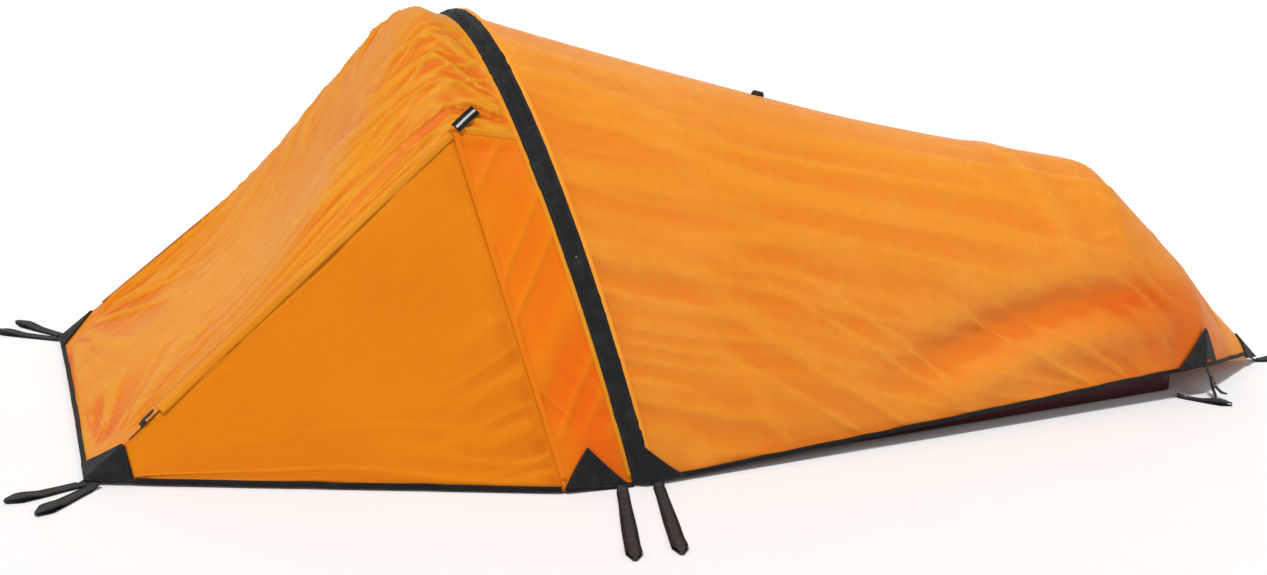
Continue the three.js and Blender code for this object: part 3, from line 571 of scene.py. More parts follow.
# DEEP is the darker red used for uneven dye and for painted shade. The fly is one orange fabric: the ramp and door
# copies below are darker orange as painted shade, and the strip copy is redder as painted light shining through the
# cloth.
DEEP = (0.70, 0.10, 0.003)
BODY_CLOTH = coated_cloth("fly_cloth_body", (0.90, 0.335, 0.024), DEEP, (0.94, 0.375, 0.040))
RAMP_CLOTH = coated_cloth("fly_cloth_ramp", (0.72, 0.275, 0.006), DEEP, (0.77, 0.325, 0.018))
DOOR_CLOTH = coated_cloth("fly_cloth_door", (0.74, 0.215, 0.001), (0.60, 0.13, 0.001),
                          (0.79, 0.245, 0.003))
STRIP_CLOTH = coated_cloth("fly_cloth_strip", (0.76, 0.205, 0.001), (0.84, 0.085, 0.001),
                           (0.80, 0.225, 0.003))
TRIM = trim_cloth("black_reinforcement", (0.012, 0.012, 0.013), (0.030, 0.031, 0.031))
BINDING = trim_cloth("black_binding_tape", (0.006, 0.006, 0.006), (0.014, 0.014, 0.014),
                     pitch=0.0016)
# The second colour is the painted sheen along the webbing's middle.
WEBBING = webbing_cloth("black_webbing", (0.010, 0.010, 0.010), (0.052, 0.052, 0.047))
STRIPE = trim_cloth("reflective_stripe", (0.62, 0.63, 0.64), (0.80, 0.80, 0.80), pitch=0.0012,
                    rough=0.4)
FLOOR_CLOTH = coated_cloth("floor_cloth", (0.060, 0.010, 0.012), (0.025, 0.004, 0.005),
                           (0.085, 0.016, 0.018), 0.38)
MESH = insect_mesh("insect_mesh", (0.030, 0.031, 0.034))
POLE = hard_finish("pole_alloy", (0.50, 0.52, 0.55), 0.34, 0.9)
PLASTIC = hard_finish("moulded_nylon", (0.018, 0.018, 0.019), 0.42)
ZIP_METAL = hard_finish("zip_metal", (0.06, 0.06, 0.065), 0.35, 0.7)
ORANGE_THREAD = hard_finish("orange_thread", (0.62, 0.14, 0.012), 0.6, grain=900.0)
BLACK_THREAD = hard_finish("black_thread", (0.035, 0.035, 0.036), 0.65, grain=900.0)


# ---------- the fly ----------

def rounded(points, rows, passes):
    """Rounds a grid's kinks along its length, near the given rows."""
    near = np.zeros(len(points))
    for row, reach in rows:
        near = np.maximum(near, bump(np.arange(len(points)), row, reach))
    for _ in range(passes):
        blurred = points.copy()
        blurred[1:-1] = 0.25 * points[:-2] + 0.5 * points[1:-1] + 0.25 * points[2:]
        points = points + (blurred - points) * near[:, None, None]
    return points


def edge_fade(across, reach=0.012):
    """0 at the left and right seams of a grid, 1 inside."""
    inner = np.minimum(across - across[:, :1], across[:, -1:] - across)
    return smooth(inner, 0, reach)


def flat_near(points, places, inner, outer):
    """0 close to any of the places and 1 away from them, so that patches lie on unwrinkled cloth."""
    share = np.ones(points.shape[:2])
    for place in places:
        share *= smooth(np.linalg.norm(points - place, axis=-1), inner, outer)
    return share


def make_body():
    share = -np.cos(np.linspace(0, np.pi, 231)) * 0.35 + np.linspace(-1, 1, 231) * 0.65
    w = np.concatenate([np.linspace(0, 1, 171), np.linspace(1, 1.994, 84)[1:]])
    points = fly_body_point(-share[None, :], w[:, None])
    points = rounded(points, ((170, 6), (211, 6)), 14)
    around, along = arcs(points)
    half = (around[:, -1:] - around[:, :1]) / 2
    low = np.abs(around) / half
    normal = grid_normals(points)
    long_folds = folds(around + 0.06 * along, along, 0.060, 0.85, 11, 1.0) * 0.0066
    long_folds = long_folds * (0.45 + 0.55 * smooth(low, 0.75, 0.40))
    broad = noise(around / 0.20, along / 0.55, 12) * 0.0085
    hoop_pucker = folds(around + 0.20 * along, along, 0.036, 0.36, 13,
                        1.2) * 0.0062 * np.exp(-along / 0.34)
    drag = folds(around - np.sign(around) * 0.42 * along, along, 0.080, 0.60, 14) * 0.0075
    drag = drag * smooth(low, 0.52, 0.80) * smooth(low, 1.03, 0.93) * smooth(along, 0.05, 0.35)
    band = np.abs(around) - (half - 0.115 - 0.10 * smooth(along, 0.55, 1.35))
    valley = -0.024 * bump(band, -0.01, 0.050) * smooth(along, 0.55,
                                                        1.00) * smooth(along, 1.75, 1.35)
    crest = 0.011 * bump(band, 0.085, 0.045) * smooth(along, 0.55, 1.00) * smooth(along, 1.75, 1.35)
    foot = folds(around * 0.9 + 0.35 * (along - 1.4), along, 0.045, 0.35,
                 15) * 0.0028 * smooth(along, 1.30, 1.55)
    seat = smooth(half - np.abs(around), 0.0, 0.020) * smooth(along, 0.0, 0.015)
    corners = [on_side(REAR_CORNER, side) for side in (-1, 1)]
    feet = [hoop_point(side * 0.99, FRONT_HOOP) + [0.03, 0, 0] for side in (-1, 1)]
    seat = seat * flat_near(points, corners, 0.10, 0.20) * flat_near(points, feet, 0.07, 0.16)
    seat = seat * flat_near(points, [TIP], 0.13, 0.26) * (0.35 + 0.65 * smooth(low, 0.03, 0.30))
    scallop = 0.0022 * noise(along / 0.11, along * 0 + 0.5,
                             16) * smooth(low, 0.9, 1.0) * smooth(along, 0.03, 0.1)
    rise = (long_folds + broad + hoop_pucker + drag + valley + crest + foot) * seat + scallop
    rise += 0.005 * bump(along, 1.376, 0.045) * smooth(low, 0.97, 0.75)
    made = points + normal * rise[..., None]
    # Painted shade in the tone attribute: darker along the hem and over the lower sides, in a band under the rear
    # fold and toward the foot end, on a small even base tone.
    tone = 0.30 * smooth(low, 0.965, 1.0) + 0.14 * smooth(low, 0.1, 0.7)
    tone = tone + 0.26 * bump(band, 0.02, 0.055) * smooth(along, 0.55, 1.10)
    tone = tone + 0.60 * smooth(along, 1.15, 1.75) * smooth(low, 0.35, 0.9) + 0.10
    tone = np.clip(tone + crease_shade(rise, 0.0020, 0.17), 0, 0.9)
    body = cloth("fly_body", made, BODY_CLOTH, slot="fly_fabric", tone=tone)
    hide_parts("fly_body_panel", "fly_foot_panel_near", "fly_foot_panel_far")
    return body, points


def make_ramp():
    share, along_share = np.linspace(1, -1, 241), np.linspace(1, 0.004, 261)
    points = ramp_point(share[None, :], along_share[:, None])
    points = rounded(points, ((196, 7),), 10)
    across, up = arcs(points)
    up_share = up / up[-1:]
    half = (across[:, -1:] - across[:, :1]) / 2
    normal = grid_normals(points)
    rise = noise(across / 0.22, up / 0.30, 21) * 0.0065
    for index, side in enumerate((-1, 1)):
        seed = 30 + 10 * index
        # Across runs from the far side to the near one, so the near crease is at +half.
        from_crease = half - side * across
        beside = folds(from_crease + 0.05 * up, up, 0.028, 0.50, seed) * 0.0078
        rise += beside * np.exp(-from_crease / 0.18) * smooth(up_share, 0.02, 0.25)
        top = up[-1].max()
        dx, dy = from_crease - 0.02, top + 0.02 - up
        angle, radius = np.arctan2(dx, dy), np.hypot(dx, dy)
        fan = folds(angle * 0.42, radius, 0.036, 0.36, seed + 3) * 0.0085
        rise += fan * smooth(radius, 0.03, 0.14) * smooth(radius, 0.85,
                                                          0.25) * smooth(from_crease, 0.75, 0.35)
        dx, dy = from_crease, up
        angle, radius = np.arctan2(dx, dy), np.hypot(dx, dy)
        fan = folds(angle * 0.34, radius, 0.036, 0.30, seed + 6) * 0.0062
        rise += fan * smooth(radius, 0.07, 0.16) * smooth(radius, 0.60, 0.20)
    brow = folds(across * 0.8 + 0.12 * up, up, 0.032, 0.16, 61) * 0.0056
    rise += brow * smooth(up_share, 0.74, 0.88)
    seat = edge_fade(across, 0.014) * smooth(up, 0.012, 0.045) * smooth(up[-1:] - up, 0, 0.02)
    seat = seat * flat_near(points, [on_side(FRONT_CORNER, side) for side in (-1, 1)], 0.09, 0.17)
    seat = seat * (0.10 + 0.90 * smooth(np.abs(across) / half, 0.03, 0.32))
    made = points + normal * (rise * seat)[..., None]
    # Painted shade in the tone attribute: darker along the side creases, at the ground edge and over the lower
    # sides, on a small even base tone.
    tone = 0.28 * (1 - edge_fade(across, 0.02)) + 0.25 * smooth(up, 0.03, 0.0)
    tone = tone + 0.22 * smooth(up_share, 0.30, 0.0) * smooth(np.abs(across) / half, 0.2,
                                                              1.0) + 0.12
    tone = np.clip(tone + crease_shade(rise * seat, 0.0016, 0.55), 0, 0.9)
    piece = cloth("fly_ramp", made, RAMP_CLOTH, slot="fly_fabric", tone=tone)
    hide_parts("fly_ramp_panel")
    return piece, points


def make_wall(side):
    s, t = np.linspace(0, 1, 121), np.linspace(0, 1, 111)
    if side > 0:
        s = s[::-1]
    points = on_side(door_point(s[None, :], t[:, None]), side)
    across, up = arcs(points)
    x = np.broadcast_to(s[None, :], across.shape)
    y = np.broadcast_to(t[:, None], across.shape)
    seed = 70 if side < 0 else 80
    crease = 1 - y
    rise = noise(across / 0.25, up / 0.30, seed) * 0.0042
    rise += folds(crease * 0.4, across, 0.016, 0.40, seed + 1) * 0.0020 * np.exp(-crease / 0.16)
    low = folds(y * 0.7 + 0.10 * x, across, 0.045, 0.40, seed + 2) * 0.0024
    rise += low * smooth(y, 0.40, 0.12)
    heel = folds(y * 0.7 - 0.22 * x, across, 0.026, 0.16, seed + 4) * 0.0036
    rise += heel * smooth(x, 0.72, 0.97) * smooth(y, 0.62, 0.30)
    seat = smooth(x, 0, 0.02) * smooth(1 - x, 0, 0.02) * smooth(y, 0, 0.03) * smooth(1 - y, 0, 0.02)
    made = points + grid_normals(points) * (rise * seat - 0.0006)[..., None]
    # Painted shade in the tone attribute: darker at the ground edge, toward the hoop end and over the lower half,
    # on a small even base tone.
    tone = 0.35 * smooth(y, 0.06, 0.0) + 0.22 * smooth(x, 0.93,
                                                       1.0) + 0.10 * smooth(y, 0.5, 0.1) + 0.08
    tone = np.clip(tone + crease_shade(rise * seat, 0.0016, 0.50), 0, 0.9)
    name, node_name = ("fly_door", "fly_door_panel") if side < 0 else ("fly_far_wall", "fly_far_wall_panel")
    piece = cloth(name, made, DOOR_CLOTH, slot="fly_fabric", tone=tone,
                  body="door" if side < 0 else "tent")
    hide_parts(node_name)
    return piece, points


def make_strip(label, side):
    across_share, up_share = np.linspace(0, 1, 45), np.linspace(0, 1, 161)
    if side < 0:
        across_share = across_share[::-1]
    points = on_side(strip_point(across_share[None, :], up_share[:, None]), side)
    across, up = arcs(points)
    x = np.broadcast_to(across_share[None, :], across.shape)
    seed = 90 if side < 0 else 96
    rise = folds(x * 0.17 + 0.80 * up, up, 0.070, 0.40, seed, 1.1) * 0.0062
    rise += folds(x * 0.17 - 0.90 * up, up, 0.040, 0.20, seed + 1) * 0.0046 * smooth(up, 0.40, 0.10)
    rise += noise(across / 0.10, up / 0.20, seed + 2) * 0.0040
    seat = smooth(x, 0, 0.10) * smooth(1 - x, 0, 0.10) * smooth(up, 0.09,
                                                                0.17) * smooth(up[-1:] - up, 0, 0.03)
    made = points + grid_normals(points) * (rise * seat)[..., None]
    # Painted light shining through the cloth: the lower part beside the sleeve turns toward the strip's redder deep
    # colour.
    tone = (0.10 + 0.50 * smooth(up, 0.55, 0.02)) * smooth(x, 1.0, 0.40) * smooth(x, -0.1, 0.25)
    tone = np.clip(tone + crease_shade(rise * seat, 0.0022, 0.26), 0, 0.9)
    piece = cloth(f"fly_strip_{label}", made, STRIP_CLOTH, slot="fly_fabric", tone=tone)
    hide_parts(f"fly_hoop_strip_{label}")
    return piece, points


# ---------- bindings, patches and seams ----------

def ribbon_on(name, path, normals, width, thick, rise, material, wave=0.0, seed=5, **options):
    """A tape laid flat on the surface along a path."""
    path, normals = np.asarray(path, float), unit(np.broadcast_to(normals, np.shape(path)))
    forward = unit(np.gradient(path, axis=0))
    side = unit(np.cross(normals, forward))
    length = np.concatenate([[0], np.cumsum(np.linalg.norm(np.diff(path, axis=0), axis=1))])
    shift = noise(length / 0.055, length * 0, seed) * wave
    profile = np.repeat(tape_profile(width, thick)[None], len(path), 0)
    profile[..., 0] += shift[:, None]
    return sweep(name, path + normals * rise, side, normals, profile, material, **options)


def surface_strip(at, u, v, rise):
    """Points and outward normals of a surface along the curve u, v."""
    e = 1e-3
    du = at(np.clip(u + e, None, 1), v) - at(u - e, v)
    dv = at(u, v + e) - at(u, v - e)
    normal = unit(np.cross(du, dv))
    return at(u, v) + normal * rise, normal


def make_hems():
    made = {}
    height = 0.0105
    t = np.linspace(0, 1, 160)
    # Ramp's front edge.
    line = ramp_point(np.linspace(-1, 1, 160), np.full(160, 0.9962))
    out = unit(np.cross([0, 1.0, 0], ramp_point(0.0, 0.95) - ramp_point(0.0, 0.99)))
    made["front_edge_hem"] = (line, np.broadcast_to(-out if out[2] < 0 else out, line.shape),
                              "tent")
    for label, side in SIDES:
        lift = np.array([0, 0, height / 2 - 0.001])
        wall = on_side(lerp(PATCH_END, toward(STRIP_FOOT, PATCH_END, 0.007), t) + lift, side)
        out = np.cross(STRIP_FOOT - FRONT_CORNER, SHOULDER - FRONT_CORNER)
        out = on_side(unit(out if out[1] > 0 else -out), side)
        made["door_hem" if side < 0 else "far_wall_hem"] = (wall, np.broadcast_to(out, wall.shape),
                                                            "door" if side < 0 else "tent")
        foot = strip_point(np.linspace(0.99, 0.0, 30), 0.0) + [0, 0, height / 2 - 0.001]
        made[f"strip_hem_{label}"] = (on_side(foot, side), np.broadcast_to(out, foot.shape), "tent")
        w = np.concatenate([np.linspace(0.004, 1, 220), np.linspace(1, 1.5, 60)[1:]])
        at = lambda u, v: fly_body_point(u, v)
        path, normal = surface_strip(at, side * np.interp(w, [0, 1, 1.5], [0.9917, 0.9885, 0.985]),
                                     w, 0)
        made[f"body_hem_{label}"] = (path, -normal if normal[100, 1] * side < 0 else normal, "tent")
        u = np.linspace(0.985, 0.02, 90)
        path, normal = surface_strip(at, side * u, np.full_like(u, 1.972), 0)
        made[f"end_hem_{label}"] = (path, -normal if normal[40, 2] < 0 else normal, "tent")
    pieces, runs = {}, {"tent": [], "door": []}
    for index, (name, (path, normal, body)) in enumerate(made.items()):
        pieces[name] = ribbon_on(name + "_tape", path, normal, height, 0.0022, 0.0012, BINDING,
                                 wave=0.0009,
                                 seed=200 + index, body=body, slot="trim_fabric")
        if not name.startswith("strip"):
            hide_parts(name)
        forward = unit(np.gradient(path, axis=0))
        side_dir = unit(np.cross(normal, forward))
        runs[body].append((path + normal * 0.0036 + side_dir * 0.0032, normal))
    return pieces, runs


def patch_sheet(name, at, side, material, rise, columns=40, rows=28, **options):
    """A reinforcement sewn over the fly, from a far-side surface at(u, v) whose u x v direction is outward."""
    u, v = np.linspace(0, 1, columns), np.linspace(0, 1, rows)
    if side < 0:
        u = u[::-1]
    points = on_side(at(u[None, :], v[:, None]), side)
    normal = grid_normals(points)
    across, up = arcs(points)
    soft = noise(across / 0.03, up / 0.03, 300) * 0.0007
    edge = np.minimum(np.minimum(u, 1 - u)[None, :] * columns, np.minimum(v, 1 - v)[:, None] * rows)
    bevel = 0.0012 * (1 - np.clip(edge / 1.2, 0, 1))
    made = points + normal * (rise + soft - bevel)[..., None]
    piece = cloth(name, made, material, thick=0.0014, **options)
    ring = []
    for a, b in (((0, 0), (1, 0)), ((1, 0), (1, 1)), ((1, 1), (0, 1)), ((0, 1), (0, 0))):
        t = np.linspace(0, 1, 40)
        ring.append(np.stack([a[0] + (b[0] - a[0]) * t, a[1] + (b[1] - a[1]) * t], -1))
    ring = np.concatenate(ring) * 0.90 + 0.05
    e = 0.01
    line = on_side(at(ring[:, 0], ring[:, 1]), side)
    du = on_side(at(ring[:, 0] + e, ring[:, 1]) - at(ring[:, 0] - e, ring[:, 1]), side)
    dv = on_side(at(ring[:, 0], ring[:, 1] + e) - at(ring[:, 0], ring[:, 1] - e), side)
    out = unit(np.cross(du, dv)) * side
    return piece, (line + out * (rise + 0.0004), out)


def make_patches():
    front_inner = FRONT_CORNER - np.array([0, 0.090, 0])
    blunt = 0.985

    def corner_base(u):
        first = lerp(PATCH_END, FRONT_CORNER, np.clip(2 * u, 0, 1))
        second = lerp(FRONT_CORNER, front_inner, np.clip(2 * u - 1, 0, 1))
        return np.where((u < 0.5)[..., None], first, second)

    def corner(u, v):
        u, v = np.broadcast_arrays(u, v)
        return lerp(corner_base(u), PATCH_TOP, v * blunt)

    def strip(u, v):
        return strip_point(0.50 + (1.02 * u - 0.51) * (1 - v * blunt), 0.003 + 0.132 * v)

    def hoop_rear(u, v):
        return body_point(0.999 - 0.104 * v, -0.016 + 0.077 * (1 - u) * (1 - v * blunt))

    def rear(u, v):
        """A triangle folded round the rear corner: its base follows the side hem, then the end hem."""
        share = 0.985 - 0.20 * np.clip(1 - 2 * u, 0, 1)
        along = 0.5 + 0.485 * np.clip(1 - 2 * u, 0, 1) - 0.17 * np.clip(2 * u - 1, 0, 1)
        return foot_point(share + (0.70 - share) * v * blunt, along + (0.5 - along) * v * blunt)

    runs = []
    for label, side in SIDES:
        for name, at in (("corner_patch_front", corner), ("hoop_patch_front", strip),
                         ("hoop_patch_rear", hoop_rear),
                         ("corner_patch_rear", rear)):
            rise = PATCH_RISE + 0.0030 * (at is rear)
            piece, run = patch_sheet(f"{name}_{label}_cloth", at, side, TRIM, rise,
                                     slot="trim_fabric")
            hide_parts(f"{name}_{label}")
            runs.append(run)
    _, run = patch_sheet("tip_patch_cloth", lambda u,
                         v: foot_point((0.20 - 0.40 * u) * v, 0.885 + 0.110 * v), 1, TRIM,
                             PATCH_RISE, slot="trim_fabric")
    return runs + [run]


SLEEVE_END = 0.993  # of the hoop's half girth: the sleeve stops just short of the ground


def make_sleeve():
    count = 420
    share = np.linspace(SLEEVE_END, -SLEEVE_END, count)
    path = hoop_point(share, FRONT_HOOP)
    tangent = unit(np.gradient(path, axis=0))
    out = unit(np.cross(tangent, ACROSS))
    out *= np.sign(out[count // 2, 2])
    length = np.concatenate([[0], np.cumsum(np.linalg.norm(np.diff(path, axis=0), axis=1))])
    around = np.linspace(0, 2 * np.pi, 40, endpoint=False)
    x = np.cos(around)
    wavy = [noise(length / 0.060, length * 0 + 3 * k, 400 + k) * 0.0014 for k in range(2)]
    half = SLEEVE_CLEAR + 0.0006 + np.where(x[None] > 0, wavy[0][:, None], wavy[1][:, None])
    lip = 0.0014
    belly = 0.0072 * np.exp(-(x * SLEEVE_HALF / 0.0085) ** 2)
    pucker = folds(length[:, None] + 0.012 * x[None], x[None] * SLEEVE_HALF, 0.020, 0.020,
                   410) * 0.0034
    twist = noise(length[:, None] / 0.09, x[None] * 1.4 + 4, 411) * 0.0030
    rise = lip + belly + (pucker + twist) * np.clip(1 - np.abs(x) ** 4, 0, 1)
    y = np.where(np.sin(around)[None] >= 0, np.maximum(rise, 0.001), -(0.0010 + 0.8 * belly))
    profile = np.stack([x[None] * half, np.broadcast_to(y, half.shape)], -1)
    sleeve = sweep("front_sleeve", path, ACROSS, out, profile, TRIM, slot="trim_fabric")
    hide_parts("front_pole_sleeve")
    runs = [(path + out * 0.0030 + ACROSS * side * (SLEEVE_HALF - 0.004), out) for side in (-1, 1)]
    return sleeve, runs


def hoop_path(hoop, start, end, count, sink=0.0):
    share = np.linspace(start, end, count)
    path = hoop_point(share, hoop)
    across = ACROSS if hoop.lean else np.array([1.0, 0, 0])
    out = unit(np.cross(unit(np.gradient(path, axis=0)), across))
    out *= np.sign(out[np.argmax(path[:, 2]), 2])
    return path - out * sink, across, out


def round_profile(radius, count=20):
    angle = np.linspace(0, 2 * np.pi, count, endpoint=False)
    return np.stack([np.cos(angle), np.sin(angle)], -1) * radius


def make_poles():
    for name, hoop, reach, joints, sink, nodes in (
            ("front_pole", FRONT_HOOP, 0.975, (-0.4875, 0, 0.4875), 0.0,
             ["front_pole_" + n for n in ("near_lower", "near_upper", "far_upper", "far_lower")]),
            ("rear_pole", REAR_POLE_HOOP, 0.97, (-0.3233, 0.3233), 0.018,
             ["rear_pole_" + n for n in ("near", "middle", "far")])):
        path, across, out = hoop_path(hoop, -reach, reach, 260, sink)
        share = np.linspace(-reach, reach, 260)
        radius = np.full(260, 0.00425)
        for joint in joints:
            radius += 0.0007 * (np.abs(share - joint) < 0.035)
        profile = round_profile(1.0)[None] * radius[:, None, None]
        pole = sweep(name, path, across, out, profile, POLE, slot="pole")
        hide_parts(*nodes)
    path, across, out = hoop_path(REAR_POLE_HOOP, -0.95, 0.95, 160, 0.018)
    oval = round_profile(1.0, 24) * np.array([0.0135, 0.0075])
    length = np.linspace(0, 1.5, 160)
    pinch = 1 + 0.10 * noise(length[:, None] / 0.03, np.arange(24)[None] / 6.0, 420)
    sleeve = sweep("rear_sleeve", path, across, out, oval[None] * pinch[..., None], STRIP_CLOTH,
                   slot="fly_fabric",
                   tone=np.full(160 * 24, 0.4))
    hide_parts("rear_pole_sleeve")
    return sleeve


def make_seams(ramp_normal):
    """Felled seams: beside the sleeve, down each hinge line and along the far wall's crease."""
    flat = tape_profile(0.0085, 0.0011, corner=0.45)
    share = np.linspace(0.97, -0.97, 300)
    for k, step in enumerate((1, -1)):
        path = hoop_point(share, FRONT_HOOP) + ACROSS * step * (SLEEVE_CLEAR + 0.0035)
        out = unit(np.cross(unit(np.gradient(path, axis=0)), ACROSS))
        out *= np.sign(out[150, 2])
        cloth_kind = BODY_CLOTH if step > 0 else RAMP_CLOTH
        sweep(f"sleeve_seam_{k}", path + out * 0.0004, ACROSS, out, flat, cloth_kind,
              slot="fly_fabric")
    door_out = np.cross(STRIP_FOOT - FRONT_CORNER, SHOULDER - FRONT_CORNER)
    door_out = unit(door_out if door_out[1] > 0 else -door_out)
    runs = []
    t = np.linspace(0.035, 0.985, 160)[:, None]
    for label, side in SIDES:
        line = on_side(STRIP_FOOT + t * (SHOULDER - STRIP_FOOT), side)
        strip_out = np.cross(SHOULDER - STRIP_FOOT, hoop_point(0.7, FRONT_HOOP) - STRIP_FOOT)
        line = line + on_side(unit(hoop_point(0.7, FRONT_HOOP) - (STRIP_FOOT + SHOULDER) / 2),
                              side) * 0.0065
        out = on_side(unit(strip_out if strip_out[1] > 0 else -strip_out), side)
        ribbon_on(f"hinge_seam_{label}", line, out, 0.0085, 0.0011, 0.0004, STRIP_CLOTH,
                  wave=0.0004,
                  slot="fly_fabric")
        runs.append((line + out * 0.0017, out))
    line = on_side(PATCH_TOP + t * (SHOULDER - PATCH_TOP), FAR)
    out = unit(on_side(door_out, FAR) + on_side(ramp_normal, -1))
    ribbon_on("far_crease_seam", line, out, 0.0085, 0.0011, 0.0010, RAMP_CLOTH, wave=0.0004,
              slot="fly_fabric")
    return runs


# ---------- straps ----------

def strap_on_ground(name, start, end, side, lift=0.0017):
    """Doubled webbing from the hem to a peg loop at its pointed end, rising on itself to keep the loop open."""
    start, end = on_side(start, side), on_side(end, side)
    length = np.linalg.norm(end - start)
    forward = (end - start) / length
    up = np.array([0, 0, 1.0])
    wide = np.cross(up, forward)
    thick, gap = 0.0017, 0.0054
    open_from, turn = length - 0.070, 0.0045
    flat = np.linspace(0, length - turn, 60)
    angle = np.linspace(-np.pi / 2, np.pi / 2, 12)[1:-1]
    radius = (gap + thick) / 2
    bend = np.stack([length - turn + turn * np.cos(angle), lift + radius + radius * np.sin(angle)],
                    -1)
    back = flat[::-1]
    raised = lift + thick + 0.0002 + (gap - 0.0002) * smooth(back, open_from - 0.010,
                                                             open_from + 0.036)
    ripple = 0.0005 * np.sin(flat / 0.031 + 5 * start[0])
    line = np.concatenate([np.stack([flat, np.full_like(flat, lift)], -1), bend,
                           np.stack([back, raised], -1)])
    line[:60, 1] += np.abs(ripple) * 0.3
    path = start + line[:, :1] * forward + line[:, 1:] * up
    path[:, 2] -= start[2]
    tangent = unit(np.gradient(path, axis=0))
    normal = unit(np.cross(tangent, wide))
    place = line[:, 0] / length
    half = 0.0128 + 0.0030 * smooth(place, 0.10, 0.60)
    half *= 1 - 0.80 * np.clip((line[:, 0] - length + 0.027) / 0.027, 0, 1)
    count = 16
    x = np.cos(np.linspace(0, 2 * np.pi, count, endpoint=False))
    ring = np.sin(np.linspace(0, 2 * np.pi, count, endpoint=False))
    selvedge = 1 + 0.45 * smooth(np.abs(x), 0.75, 0.95)
    y = np.sign(ring) * np.abs(ring) ** 0.35 * thick / 2 * selvedge
    profile = np.stack([np.sign(x)[None] * np.abs(x[None]) ** 0.8 * half[:, None],
                        np.broadcast_to(y, (len(line), count))], -1)
    piece = sweep(name + "_webbing", path, wide, normal, profile, WEBBING, body=name,
                  slot="webbing")
    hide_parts(name)
    bar = start + forward * max(open_from - 0.012, 0.018) + up * (2 * thick + 0.0010)
    cross = [bar + wide * 0.010 * k + forward * 0.004 * ((-1) ** k_index)
             for k_index, k in enumerate(np.linspace(-1, 1, 9))]
    box = [bar + wide * a * 0.010 + forward * b * 0.010 for a,
           b in ((-1, -1), (1, -1), (1, 1), (-1, 1), (-1, -1))]
    sewn = stitching(name + "_bar_tack", [(resample(np.array(p), 0.001), up) for p in (cross, box)],
                     BLACK_THREAD,
                     body=name)
    run = np.linspace(0, 1, 14)
    root = start + forward * (0.026 * run[:,
                                          None] - 0.026) + up * (0.0075 - 0.0060 * smooth(run, 0.15, 0.95))[:, None]
    sweep(name + "_root", root, wide, unit(np.cross(unit(np.gradient(root, axis=0)), wide)),
          tape_profile(0.0232, 0.0018) - [0, 0.0009], WEBBING, slot="webbing")
    return [piece, sewn]


STRAPS = {
    "front_fly_strap": ((-1.088, 0.456, 0), (-1.224, 0.524, 0)),
    "front_floor_strap": ((-1.076, 0.483, 0), (-1.172, 0.592, 0)),
    "hoop_fly_strap": ((-0.058, 0.646, 0), (-0.146, 0.959, 0)),
    "hoop_floor_strap": ((0.026, 0.632, 0), (-0.049, 0.948, 0)),
    "rear_floor_strap": ((1.594, 0.262, 0), (1.680, 0.328, 0)),
}


def bevelled_bars(name, boxes, placing, material, bevel=0.0007, **options):
    """One object from bevelled boxes given as (centre, size) in a local frame."""
    made = bmesh.new()
    for centre, size in boxes:
        new = bmesh.ops.create_cube(made, size=1.0)["verts"]
        bmesh.ops.scale(made, vec=size, verts=new)
        bmesh.ops.translate(made, vec=centre, verts=new)
        edges = list({e for v in new for e in v.link_edges})
        bmesh.ops.bevel(made, geom=edges, offset=min(bevel, min(size) * 0.4), segments=2,
                        affect="EDGES", profile=0.6)
    bmesh.ops.transform(made, matrix=placing, verts=made.verts)
    vertices = np.array([v.co[:] for v in made.verts])
    index = {v: i for i, v in enumerate(made.verts)}
    faces = [[index[v] for v in f.verts] for f in made.faces]
    made.free()
    return make_object(name, vertices, faces, material, uv=vertices[:, :2], **options)


def placing_of(x, y, z, origin):
    m = Matrix.Identity(4)
    for k, axis in enumerate((x, y, z)):
        for row in range(3):
            m[row][k] = axis[row]
    m.translation = Vector(origin)
    return m


def rear_fly_strap(label, side):
    """The webbing that holds each raised rear corner down, through its ladder lock, with its free tail."""
    body = f"rear_fly_strap_{label}"
    top, foot = (on_side(np.array(p), side) for p in ((1.652, 0.256, 0.066),
                                                      (1.672, 0.276, 0.0012)))
    down = unit(foot - top)
    wide = unit(np.array([side, -1.0, 0]))
    out = unit(np.cross(wide, down))
    out = out if out[0] > 0 else -out
    drop = np.linalg.norm(foot - top)
    t = np.linspace(-0.012, drop - 0.003, 40)
    sway = 0.0012 * np.sin(t / drop * 9)
    path = top + t[:, None] * down + sway[:, None] * out
    strap = sweep(body + "_webbing", path, wide, out, tape_profile(0.025, 0.0026) - [0, 0.0013],
                  WEBBING, body=body,
                  slot="webbing")
    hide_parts(body)
    tail = np.array([top + down * 0.034 + out * 0.006, top + down * 0.044 + out * 0.011,
                     top + down * 0.056 + out * 0.018, top + down * 0.062 + out * 0.030])
    tail = resample(tail, 0.002)
    normal = unit(np.cross(unit(np.gradient(tail, axis=0)), wide))
    half = 1 - 0.5 * smooth(np.linspace(0, 1, len(tail)), 0.6, 1.0)
    profile = tape_profile(0.021, 0.0018)[None] * np.stack([half, np.ones_like(half)], -1)[:, None]
    end = sweep(body + "_tail", tail, wide, normal, profile, WEBBING, body=body, slot="webbing")
    x, y, z = wide, down, np.cross(wide, down)
    bars = [((0, -0.0093, 0), (0.034, 0.0036, 0.0040)),
            ((0, 0.0093, 0.0006), (0.034, 0.0036, 0.0046)),
            ((0, 0, 0.0004), (0.032, 0.0040, 0.0036)), ((-0.0152, 0, 0), (0.0038, 0.0215, 0.0040)),
            ((0.0152, 0, 0), (0.0038, 0.0215, 0.0040)),
            ((0, 0.0125, 0.0012), (0.016, 0.0040, 0.0030))]
    lock = bevelled_bars(f"ladder_lock_{label}", bars,
                         placing_of(x, y, z, top + down * 0.026 + out * 0.0045), PLASTIC,
                         body=body, slot="plastic")
    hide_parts(f"rear_ladder_lock_{label}")
    return [strap, end, lock]


# ---------- zip, tabs ----------

